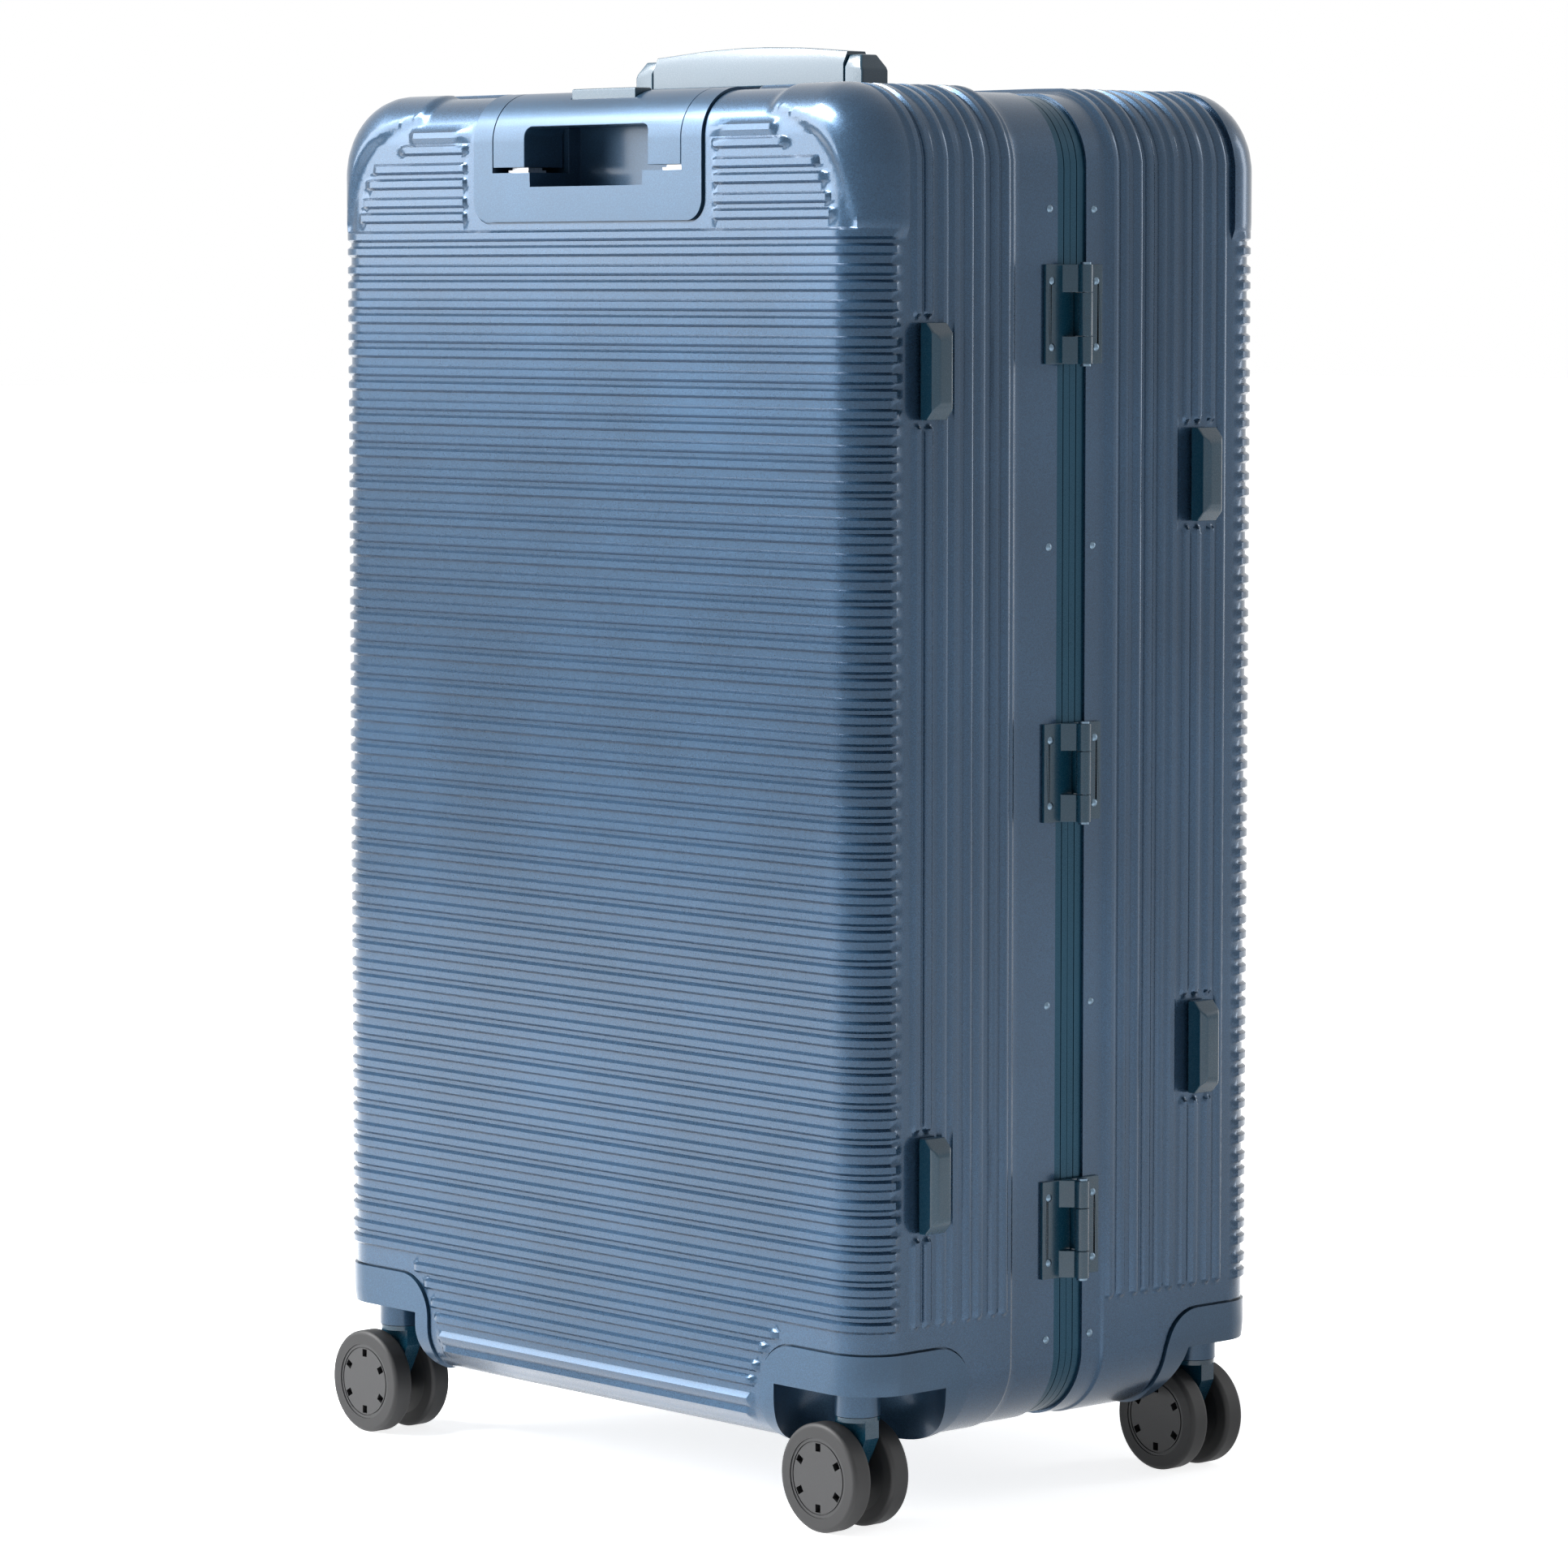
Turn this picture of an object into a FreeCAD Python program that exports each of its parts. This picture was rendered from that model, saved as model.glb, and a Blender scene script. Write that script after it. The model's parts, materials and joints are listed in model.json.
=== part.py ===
# Hard shell suitcase on four twin-wheel casters, as an assembly of separate parts.
# Frame: X to the hinge side, -Y to the back with the pull-out handle, +Z up, floor at Z = 0.
import FreeCAD, Part
import math
import os

V = FreeCAD.Vector

# ---- overall sizes, mm ----
WIDTH = 460.0            # across the wide faces, X
DEPTH = 310.0            # both halves together, Y
TOP = 782.0              # rib crests of the top face above the floor
GROUND_GAP = 42.0        # floor to the underside
EDGE_R = 28.0            # rounding between the wide face and the sides
CORNER_R = 46.0          # corner radius of the outline seen from the back

# ---- shell and frame ----
RIB_TOP_SET = 0.5        # shell surface below the rib crests
BAND_SET = 3.2           # flat band beside the frame, below the crests
CAVITY_SET = 4.7         # inner face of the shell, below the crests
BACK_WALL = 4.0
BAND_START = 43.0        # the rear band runs from here ...
LID_BAND_START = 25.0    # the lid has a narrower band
BAND_END = 11.0          # ... to here, measured from the parting plane
PART_GAP = 0.15          # half of the gap in the parting plane
FLANGE_START = 31.0
FLANGE_T = 2.0
FRAME_DEEP = 14.0        # depth of the frame's box section
FRAME_LONG = 8.0
GASKET_W = 4.0
GASKET_T = 1.05

# ---- hinges ----
HINGE_Z = (658.0, 408.0, 156.0)
HINGE_H = 54.0
LEAF_HALF = 21.7
LEAF_T = 2.0
HINGE_OUT = 7.5          # axis beyond the rib crests
KNUCKLE_R = 4.0
PIN_R = 1.5
FIT = 0.05               # radial running clearance
RIVET_Y = 17.0
RIVET_DZ = 18.0
RIVET_R = 2.2
SHANK_R = 1.6
SPARE_RIVET_Z = (715.0, 531.5, 280.0, 95.0)

# ---- side feet ----
FOOT_W = 15.0
FOOT_L = 52.0
FOOT_H = 12.0
REAR_FOOT_Y = -109.0
LID_FOOT_Y = 99.0
REAR_FOOT_Z = (628.0, 190.5)
LID_FOOT_Z = (569.0, 248.5)

# ---- casters ----
WHEEL_R = 30.0
WHEEL_W = 13.0
TYRE_T = 8.0
TYRE_FIT = 0.05     # radial gap between hub and tyre
WHEEL_OFF = 14.0         # wheel centre from the swivel plane
TRAIL = 10.0
PIVOT_IN_X = 33.0        # swivel axis from the side face
PIVOT_IN_Y = 24.0        # swivel axis from the wide face
ARM_T = 10.0
AXLE_R = 2.5
STEM_R = 5.0
COLLAR_R = 12.0
SOCKET_Z = 64.0
RECESS_R = 48.0
RECESS_TOP = 78.0
HOUSING_X = 86.0         # housing plate from the side face
HOUSING_Y = 78.0         # housing plate from the wide face
HOUSING_TOP = 100.0
PLATE_R = 24.0
SEAM = 0.5               # gap round the plates let into the shell

# ---- pull-out handle ----
GRIP_HALF = 80.0
GRIP_BOTTOM = 739.5
GRIP_DEEP = 29.0
FINGER_HALF = 52.5
FINGER_TOP = 762.0
POCKET_HALF = 48.0
POCKET_BOTTOM = 728.5
POCKET_DEEP = 38.0
LEDGE = 736.5
HOUSE_HALF = 97.0
HOUSE_BOTTOM = 709.0
HOUSE_DEEP = 46.0
HOUSE_R = 12.0
TUBE_X = 66.0
TUBE_IN = 14.0           # tube centre line from the wide face
TUBE_A = 20.4            # outer tube, X
TUBE_B = 16.4            # outer tube, Y
TUBE_WALL = 1.2
TUBE_GAP = 0.4
TUBE_FOOT = 92.0
BUTTON_HALF = 27.0
BUTTON_W = 12.0
BUTTON_OUT = 1.2
BUTTON_TRAVEL = 3.0

# ---- carry handles ----
HANDLE_Y = -24.0
HANDLE_W = 20.0
HANDLE_HALF = 80.5
HANDLE_BLOCK = 15.0
HANDLE_GAP = 0.5
TOP_HANDLE_H = 29.0
SIDE_HANDLE_H = 23.5
HANDLE_SAG = 4.0
LEG_X = 62.0
LEG_W = 8.0
LEG_D = 10.0
LEG_DOWN = 25.0
LEG_TRAVEL = 17.0
HANDLE_LIFT = 5.0
SIDE_HANDLE_Z = 409.0

# ---- latches on the side away from the hinges ----
LATCH_Z = (600.0, 218.0)
LATCH_HALF = 24.0
LATCH_AXIS_Y = -26.0

# ---- inside ----
LINING_SET = 19.2
LINING_T = 2.0
REAR_LINING_BACK = 131.0
LID_LINING_BACK = 149.0
STRAP_W = 25.0
STRAP_T = 1.6
STRAP_Y = -18.0

HW = WIDTH / 2.0
HD = DEPTH / 2.0
MID_Z = (TOP + GROUND_GAP) / 2.0
HH = (TOP - GROUND_GAP) / 2.0
AXIS_X = HW + HINGE_OUT
TUBE_Y = -(HD - TUBE_IN)


def box(x0, x1, y0, y1, z0, z1):
    return Part.makeBox(x1 - x0, y1 - y0, z1 - z0, V(x0, y0, z0))


def cyl(r, p, d, h):
    return Part.makeCylinder(r, h, V(*p), V(*d))


def round_face(x0, x1, z0, z1, r, y):
    """A rectangle with four round corners in the plane at this Y."""
    k = r * (1.0 - math.sqrt(0.5))
    pts = [(x0 + r, z0), (x1 - r, z0), (x1, z0 + r), (x1, z1 - r),
           (x1 - r, z1), (x0 + r, z1), (x0, z1 - r), (x0, z0 + r)]
    mid = [(x1 - k, z0 + k), (x1 - k, z1 - k), (x0 + k, z1 - k), (x0 + k, z0 + k)]
    p = [V(a, y, b) for a, b in pts]
    m = [V(a, y, b) for a, b in mid]
    edges = []
    for i in range(4):
        a, b, c = p[2 * i], p[2 * i + 1], p[(2 * i + 2) % 8]
        edges.append(Part.makeLine(a, b))
        edges.append(Part.Arc(b, m[i], c).toShape())
    return Part.Face(Part.Wire(edges))


def outline(offset, y0, y1):
    """The case's outline, set in by an offset and run between two depths."""
    face = round_face(-HW + offset, HW - offset, GROUND_GAP + offset, TOP - offset,
                      CORNER_R - offset, y0)
    return face.extrude(V(0, y1 - y0, 0))


def tub(offset, y0, y1, r):
    """The outline with its edge at the back rounded."""
    body = outline(offset, y0, y1)
    edges = [e for e in body.Edges if abs(e.BoundBox.YMin - y0) < 1e-6
             and abs(e.BoundBox.YMax - y0) < 1e-6]
    return body.makeFillet(r, edges)


def prism_xz(points, y0, y1):
    wire = Part.makePolygon([V(x, y0, z) for x, z in points + points[:1]])
    return Part.Face(wire).extrude(V(0, y1 - y0, 0))


def prism_xy(points, z0, z1):
    wire = Part.makePolygon([V(x, y, z0) for x, y in points + points[:1]])
    return Part.Face(wire).extrude(V(0, 0, z1 - z0))


def prism_yz(points, x0, x1):
    wire = Part.makePolygon([V(x0, y, z) for y, z in points + points[:1]])
    return Part.Face(wire).extrude(V(x1 - x0, 0, 0))


def flip_y(shape):
    return shape.mirror(V(0, 0, 0), V(0, 1, 0))


def flip_x(shape):
    return shape.mirror(V(0, 0, 0), V(1, 0, 0))


def joined(shapes):
    return shapes[0].multiFuse(shapes[1:]).removeSplitter()


def outer_skin(band_start):
    """Everything inside a half's outer surface, built on the -Y side."""
    main = tub(RIB_TOP_SET, -HD + RIB_TOP_SET, -band_start, EDGE_R)
    band = outline(BAND_SET, -band_start, -BAND_END)
    return main.fuse(band).removeSplitter()


def rivet_spots():
    spots = []
    for zc in HINGE_Z:
        for dz in (-RIVET_DZ, RIVET_DZ):
            spots.append((1, zc + dz, LEAF_T))
    for z in SPARE_RIVET_Z:
        spots.append((1, z, 0.0))
        spots.append((-1, z, 0.0))
    return spots


def rivet_holes():
    holes = []
    for side, z, lift in rivet_spots():
        start = (side * (HW - CAVITY_SET - FLANGE_T - 1.0), -RIVET_Y, z)
        holes.append(cyl(SHANK_R, start, (side, 0, 0), 12.0))
    return holes


def make_rivets():
    """Domed heads outside, a shank through band and flange, and an upset tail."""
    out = []
    for side, z, lift in rivet_spots():
        face = HW - BAND_SET + lift
        tail = HW - CAVITY_SET - FLANGE_T
        shank = cyl(SHANK_R, (side * (tail - 1.4), -RIVET_Y, z), (side, 0, 0), face - tail + 1.4)
        back = cyl(2.4, (side * (tail - 1.4), -RIVET_Y, z), (side, 0, 0), 1.4)
        ball_r = 2.6
        sink = math.sqrt(ball_r ** 2 - RIVET_R ** 2)
        ball = Part.makeSphere(ball_r, V(side * (face - sink), -RIVET_Y, z))
        x0, x1 = sorted((side * face, side * (face + 3.0)))
        dome = ball.common(box(x0, x1, -RIVET_Y - 4, -RIVET_Y + 4, z - 4, z + 4))
        out.append(joined([shank, back, dome]))
    return out


def housing_block(grow):
    """The corner region the caster housing fills, larger by a margin."""
    x_in = HW - HOUSING_X - grow
    y_in = -HD + HOUSING_Y + grow
    z_top = HOUSING_TOP + grow
    r = PLATE_R + grow
    seen_back = round_face(x_in, HW + 60, GROUND_GAP - 8.0, z_top, r, -HD - 10)
    seen_back = seen_back.extrude(V(0, 200, 0))
    k = r * (1.0 - math.sqrt(0.5))
    p = [V(HW - 150, -HD - 60, z_top), V(HW - 150, y_in - r, z_top),
         V(HW - 150, y_in - k, z_top - k), V(HW - 150, y_in, z_top - r),
         V(HW - 150, y_in, GROUND_GAP - 8 + r), V(HW - 150, y_in - k, GROUND_GAP - 8 + k),
         V(HW - 150, y_in - r, GROUND_GAP - 8), V(HW - 150, -HD - 60, GROUND_GAP - 8)]
    edges = [Part.makeLine(p[0], p[1]), Part.Arc(p[1], p[2], p[3]).toShape(),
             Part.makeLine(p[3], p[4]), Part.Arc(p[4], p[5], p[6]).toShape(),
             Part.makeLine(p[6], p[7]), Part.makeLine(p[7], p[0])]
    seen_side = Part.Face(Part.Wire(edges)).extrude(V(300, 0, 0))
    return seen_back.common(seen_side)


def trolley_block(grow):
    """The region of the pull-out handle's housing, larger by a margin."""
    face = round_face(-HOUSE_HALF - grow, HOUSE_HALF + grow, HOUSE_BOTTOM - grow,
                      TOP + 60, HOUSE_R + grow, -HD - 10)
    return face.extrude(V(0, HOUSE_DEEP + 10 + grow, 0))


def leg_slots(grow, low, high):
    """Slots for the legs of both carry handles through band and flange."""
    out = []
    hx = LEG_W / 2.0 + grow
    hy = LEG_D / 2.0 + grow
    for s in (-1, 1):
        out.append(box(s * LEG_X - hx, s * LEG_X + hx, HANDLE_Y - hy, HANDLE_Y + hy,
                       TOP - high, TOP - low))
        zc = SIDE_HANDLE_Z + s * LEG_X
        out.append(box(-HW + low, -HW + high, HANDLE_Y - hy, HANDLE_Y + hy,
                       zc - hx, zc + hx))
    return out


def make_shell(skin, with_trolley):
    cavity = tub(CAVITY_SET, -HD + BACK_WALL, -BAND_END + 1.0, EDGE_R - 4.0)
    body = skin.cut(cavity)
    cuts = [housing_block(SEAM), flip_x(housing_block(SEAM))]
    cuts += rivet_holes()
    if with_trolley:
        cuts.append(trolley_block(SEAM))
        cuts += leg_slots(0.5, 0.0, 12.0)
    return body.cut(cuts)


def make_frame(with_gasket):
    """Rolled channel: a flange inside the shell and a box section at the parting plane."""
    p = -PART_GAP
    wall = FLANGE_T
    outer = outline(CAVITY_SET, -FLANGE_START, p)
    bore = outline(CAVITY_SET + wall, -FLANGE_START - 1, -FRAME_LONG)
    deep = outline(CAVITY_SET + FRAME_DEEP, -FRAME_LONG - 1, p + 1)
    body = outer.cut([bore, deep])
    hollow = outline(CAVITY_SET + wall, -FRAME_LONG - 1, p - wall)
    core = outline(CAVITY_SET + FRAME_DEEP - wall, -FRAME_LONG - 2, p - wall + 1)
    body = body.cut(hollow.cut(core))
    line_out = outline(CAVITY_SET - 1, -5.2, -4.6).cut(outline(CAVITY_SET + 0.6, -6, -4))
    cuts = [line_out] + rivet_holes()
    if with_gasket:
        seat = outline(CAVITY_SET + 4.0, p - GASKET_T, p + 1)
        seat = seat.cut(outline(CAVITY_SET + 4.0 + GASKET_W, p - 3, p + 2))
        cuts.append(seat)
        cuts += leg_slots(0.5, 0.0, 12.0)
    return body.cut(cuts)


def make_gasket():
    p = -PART_GAP
    ring = outline(CAVITY_SET + 4.0, p - GASKET_T, p)
    return ring.cut(outline(CAVITY_SET + 4.0 + GASKET_W, p - 3, p + 2))


def pivot():
    return HW - PIVOT_IN_X, -HD + PIVOT_IN_Y


def make_wheel_housing(skin):
    """Plate flush with the shell, a round recess for the caster and a stem socket."""
    px, py = pivot()
    whole = housing_block(0.0).common(skin)
    recess = cyl(RECESS_R, (px, py, 0), (0, 0, 1), RECESS_TOP)
    roof = RECESS_TOP + 3.0
    inside = tub(CAVITY_SET, -HD + BACK_WALL, -BAND_END, EDGE_R - 4.0)
    upper = box(px - 200, px + 200, py - 200, py + 200, roof, HOUSING_TOP + 10)
    shell_part = whole.cut(recess)
    shell_part = shell_part.cut(inside.common(upper))
    lip = housing_block(7.0).cut(housing_block(0.0))
    rim = inside.cut(tub(CAVITY_SET + 1.5, -HD + BACK_WALL + 1.5, -BAND_END - 2.0,
                         EDGE_R - 5.5))
    rim = rim.common(housing_block(7.0)).cut(recess)
    boss = cyl(COLLAR_R + 0.5, (px, py, SOCKET_Z), (0, 0, 1), HOUSING_TOP - 8.0 - SOCKET_Z)
    body = joined([shell_part, rim, boss])
    bore = cyl(STEM_R + FIT, (px, py, SOCKET_Z - 1), (0, 0, 1), HOUSING_TOP - 10.0 - SOCKET_Z)
    solids = sorted(body.cut(bore).Solids, key=lambda s: -s.Volume)
    return solids[0]


def make_foot(y, zc):
    x0 = HW - RIB_TOP_SET
    x1 = HW + FOOT_H
    hl = FOOT_L / 2.0
    hw = FOOT_W / 2.0
    side = prism_xz([(x0, zc - hl), (x0 + 5, zc - hl), (x1 - 1, zc - hl + 7), (x1, zc - hl + 10),
                     (x1, zc + hl - 10), (x1 - 1, zc + hl - 7), (x0 + 5, zc + hl),
                     (x0, zc + hl)], y - hw, y + hw)
    plan = prism_xy([(x0, y - hw), (x1 - 3, y - hw), (x1, y - hw + 3), (x1, y + hw - 3),
                     (x1 - 3, y + hw), (x0, y + hw)], zc - hl, zc + hl)
    return side.common(plan)


def knuckle_spans(own_ends):
    end = HINGE_H * 0.28
    gap = 0.15
    half = HINGE_H / 2.0
    if own_ends:
        return [(-half, -half + end - gap), (half - end + gap, half)]
    return [(-half + end + gap, half - end - gap)]


def make_leaf(zc, own_ends):
    """Flat leaf on the band with a neck up to its knuckles; built on the -Y side."""
    x0 = HW - BAND_SET
    plate = box(x0, x0 + LEAF_T, -LEAF_HALF, -0.6, zc - HINGE_H / 2, zc + HINGE_H / 2)
    pieces = [plate]
    for a, b in knuckle_spans(own_ends):
        neck = prism_xy([(x0, -9.0), (x0 + LEAF_T, -9.0), (AXIS_X - 2.6, -3.4),
                         (AXIS_X, -2.0), (AXIS_X, -0.6), (x0, -0.6)], zc + a, zc + b)
        pieces += [neck, cyl(KNUCKLE_R, (AXIS_X, 0, zc + a), (0, 0, 1), b - a)]
    body = joined(pieces)
    bore = cyl(PIN_R + FIT, (AXIS_X, 0, zc - HINGE_H), (0, 0, 1), 2 * HINGE_H)
    holes = [cyl(SHANK_R, (x0 - 1, -RIVET_Y, zc + s * RIVET_DZ), (1, 0, 0), 5.0)
             for s in (-1, 1)]
    return body.cut([bore] + holes)


def make_pin(zc):
    half = HINGE_H / 2.0
    pin = cyl(PIN_R, (AXIS_X, 0, zc - half - 1.2), (0, 0, 1), HINGE_H + 2.4)
    low = cyl(3.0, (AXIS_X, 0, zc - half - 1.2), (0, 0, 1), 1.2)
    high = cyl(3.0, (AXIS_X, 0, zc + half), (0, 0, 1), 1.2)
    return joined([pin, low, high])


def tube(x, a, b, wall, z0, z1):
    out = box(x - a / 2, x + a / 2, TUBE_Y - b / 2, TUBE_Y + b / 2, z0, z1)
    a -= 2 * wall
    b -= 2 * wall
    return out.cut(box(x - a / 2, x + a / 2, TUBE_Y - b / 2, TUBE_Y + b / 2, z0 - 1, z1 + 1))


def stage(n):
    """Outer size of the tube pair of stage n, counted from the fixed one."""
    step = 2 * (TUBE_WALL + TUBE_GAP)
    return TUBE_A - n * step, TUBE_B - n * step


def make_trolley_housing(skin):
    """Plate flush with the shell that carries the grip's recess and the finger pocket."""
    wall = 3.0
    inside = tub(CAVITY_SET, -HD + BACK_WALL, -BAND_END, EDGE_R - 4.0)
    plate = trolley_block(0.0).common(skin).cut(inside)
    rim = inside.cut(tub(CAVITY_SET + 1.5, -HD + BACK_WALL + 1.5, -BAND_END, EDGE_R - 5.5))
    rim = rim.common(trolley_block(7.0))
    y_front = -HD - 5
    y_grip = -HD + GRIP_DEEP + 0.5
    y_pocket = -HD + POCKET_DEEP
    cup = box(-GRIP_HALF - wall, GRIP_HALF + wall, -HD + 2, y_grip + wall,
              LEDGE - wall, TOP - 2.0)
    deep = box(-POCKET_HALF - wall, POCKET_HALF + wall, -HD + 2, y_pocket + wall,
               POCKET_BOTTOM - wall, TOP - 2.0)
    body = joined([plate, rim, cup.common(skin), deep.common(skin)])
    recess = box(-GRIP_HALF - 0.5, GRIP_HALF + 0.5, y_front, y_grip, LEDGE, TOP + 5)
    pocket = box(-POCKET_HALF, POCKET_HALF, y_front, y_pocket, POCKET_BOTTOM, TOP - 14.0)
    cuts = [recess, pocket]
    a, b = stage(0)
    for s in (-1, 1):
        cuts.append(box(s * TUBE_X - a / 2, s * TUBE_X + a / 2, TUBE_Y - b / 2,
                        TUBE_Y + b / 2, 600, LEDGE + 1))
    solids = sorted(body.cut(cuts).Solids, key=lambda s: -s.Volume)
    return solids[0]


def make_grip(skin):
    """Corner bar flush with the housing, two legs, a finger opening, a button seat."""
    y1 = -HD + GRIP_DEEP
    bar = skin.common(box(-GRIP_HALF, GRIP_HALF, -HD - 5, y1, GRIP_BOTTOM, TOP + 5))
    opening = round_face(-FINGER_HALF, FINGER_HALF, GRIP_BOTTOM - 30, FINGER_TOP, 5.0, -HD - 5)
    bar = bar.cut(opening.extrude(V(0, GRIP_DEEP + 10, 0)))
    yb = -HD + GRIP_DEEP - 9.0
    seat = box(-BUTTON_HALF - 0.4, BUTTON_HALF + 0.4, yb - BUTTON_W / 2 - 0.4,
               yb + BUTTON_W / 2 + 0.4, TOP - 9.0, TOP + 5)
    a, b = stage(2)
    cuts = [seat]
    for s in (-1, 1):
        cuts.append(box(s * TUBE_X - a / 2, s * TUBE_X + a / 2, TUBE_Y - b / 2,
                        TUBE_Y + b / 2, GRIP_BOTTOM - 1, GRIP_BOTTOM + 22))
    return bar.cut(cuts)


def make_button():
    """Push bar let into the top of the grip."""
    yb = -HD + GRIP_DEEP - 9.0
    top = TOP - RIB_TOP_SET + BUTTON_OUT
    cap = box(-BUTTON_HALF, BUTTON_HALF, yb - BUTTON_W / 2, yb + BUTTON_W / 2,
              TOP - 9.0 + BUTTON_TRAVEL + 0.6, top)
    edges = [e for e in cap.Edges if e.BoundBox.ZMin > top - 1e-6]
    return cap.makeFillet(1.0, edges)


def handle_bar(height):
    """Carry handle along local X, standing on the band at local Z = 0."""
    sag = HANDLE_SAG
    x1 = HANDLE_HALF
    h = height
    side = prism_xz([(-x1, HANDLE_LIFT), (x1, HANDLE_LIFT), (x1, h - sag), (x1 * 0.5, h - 1.0),
                     (0.12 * x1, h), (-0.12 * x1, h), (-x1 * 0.5, h - 1.0), (-x1, h - sag)],
                    -HANDLE_W / 2, HANDLE_W / 2)
    hw = HANDLE_W / 2
    cross = prism_yz([(-hw + 2, HANDLE_LIFT), (hw - 2, HANDLE_LIFT), (hw, HANDLE_LIFT + 2),
                      (hw, h - 11), (hw - 5, h), (-hw + 5, h), (-hw, h - 11),
                      (-hw, HANDLE_LIFT + 2)], -x1, x1)
    bar = side.common(cross)
    foot = LEG_DOWN
    pieces = [bar]
    for s in (-1, 1):
        xc = s * LEG_X
        pieces.append(box(xc - LEG_W / 2, xc + LEG_W / 2, -LEG_D / 2, LEG_D / 2,
                          -foot, HANDLE_LIFT + 4))
        pieces.append(box(xc - LEG_W / 2 - 3, xc + LEG_W / 2 + 3, -LEG_D / 2 + 0.5,
                          LEG_D / 2 - 0.5, -foot, -foot + 3.0))
    return joined(pieces)


def handle_blocks(height):
    """Fixed end blocks of a carry handle, with bevelled ends."""
    x0 = HANDLE_HALF + HANDLE_GAP
    x1 = x0 + HANDLE_BLOCK
    top = height - HANDLE_SAG - 2.0
    hw = HANDLE_W / 2
    side = prism_xz([(x0, 0), (x1, 0), (x1, top - 9), (x1 - 5, top), (x0, top)], -hw, hw)
    cross = prism_yz([(-hw, 0), (hw, 0), (hw, top - 7), (hw - 4, top), (-hw + 4, top),
                      (-hw, top - 7)], x0, x1)
    one = side.common(cross)
    return [one, flip_x(one)]


def on_top(shape):
    out = shape.copy()
    out.translate(V(0, HANDLE_Y, TOP - BAND_SET))
    return out


def on_side(shape):
    out = shape.copy()
    out.rotate(V(0, 0, 0), V(0, 1, 0), -90)
    out.translate(V(-HW + BAND_SET, HANDLE_Y, SIDE_HANDLE_Z))
    return out


def make_latch_base(zc):
    x1 = -HW + BAND_SET
    plate = box(x1 - 2.2, x1, LATCH_AXIS_Y - 5, -12, zc - 32, zc + 32)
    ears = []
    axis_x = x1 - 6.0
    for a, b in ((-32.0, -LATCH_HALF - 0.4), (LATCH_HALF + 0.4, 32.0)):
        ears.append(box(axis_x, x1 - 1, LATCH_AXIS_Y - 3, LATCH_AXIS_Y + 3, zc + a, zc + b))
        ears.append(cyl(3.0, (axis_x, LATCH_AXIS_Y, zc + a), (0, 0, 1), b - a))
    pin = cyl(1.2, (axis_x, LATCH_AXIS_Y, zc - 32), (0, 0, 1), 64.0)
    return joined([plate] + ears + [pin])


def make_latch_lever(zc):
    """Flat lever on its pin; the free end stands off the strike for a finger."""
    x1 = -HW + BAND_SET
    axis_x = x1 - 6.0
    knuckle = cyl(3.0, (axis_x, LATCH_AXIS_Y, zc - LATCH_HALF), (0, 0, 1), 2 * LATCH_HALF)
    plate = prism_xy([(axis_x - 3.0, LATCH_AXIS_Y), (x1 - 3.0, LATCH_AXIS_Y + 4.5),
                      (x1 - 3.0, 18.0), (x1 - 5.0, 26.0), (axis_x - 3.0, 26.0),
                      (axis_x - 3.0, 16.0)], zc - LATCH_HALF, zc + LATCH_HALF)
    lever = joined([knuckle, plate])
    return lever.cut(cyl(1.2 + FIT, (axis_x, LATCH_AXIS_Y, zc - 60), (0, 0, 1), 120.0))


def make_strike(zc):
    x1 = -HW + BAND_SET
    return prism_xy([(x1, 11.5), (x1 - 2.4, 12.5), (x1 - 2.4, 22.0), (x1, 24.0)],
                    zc - 20, zc + 20)


def make_lining(back, wheel_zone, bumps):
    """Cloth tray that runs from the frame to the back and steps over what is behind it."""
    outer = tub(LINING_SET, -back, -FRAME_LONG - 0.5, 18.0)
    inner = tub(LINING_SET + LINING_T, -back + LINING_T, -FRAME_LONG + 1, 16.0)
    zones = [wheel_zone] + [z for z in bumps]
    boxes = []
    thick = []
    for x0, x1, y0, y1, z0, z1 in zones:
        pair = [(x0, x1)]
        if x0 > 0:
            pair.append((-x1, -x0))
        for a, b in pair:
            boxes.append(box(a, b, y0, y1, z0, z1))
            t = LINING_T
            thick.append(box(a - t, b + t, y0 - t, y1 + t, z0 - t, z1 + t))
    room = inner.cut(thick)
    solids = sorted(outer.cut(boxes).cut(room).Solids, key=lambda s: -s.Volume)
    return solids[0]


def make_straps():
    """Two bands crossing from corner to corner, and the ring under the buckle."""
    inner = outline(LINING_SET + LINING_T, STRAP_Y - 5, STRAP_Y + 5)
    bars = []
    for turn in (-1, 1):
        bar = box(-600, 600, STRAP_Y, STRAP_Y + STRAP_T, -STRAP_W / 2, STRAP_W / 2)
        bar.rotate(V(0, 0, 0), V(0, 1, 0), turn * 57.0)
        bar.translate(V(0, 0, MID_Z))
        bars.append(bar.common(inner))
    cross = joined(bars)
    return cross.cut(cyl(26.0, (0, STRAP_Y - 9, MID_Z), (0, 1, 0), 30.0))


def make_buckle():
    body = cyl(26.0, (0, STRAP_Y - 3, MID_Z), (0, 1, 0), 9.0)
    edges = [e for e in body.Edges if e.BoundBox.YLength < 1e-6]
    return body.makeFillet(2.0, edges)


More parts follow.
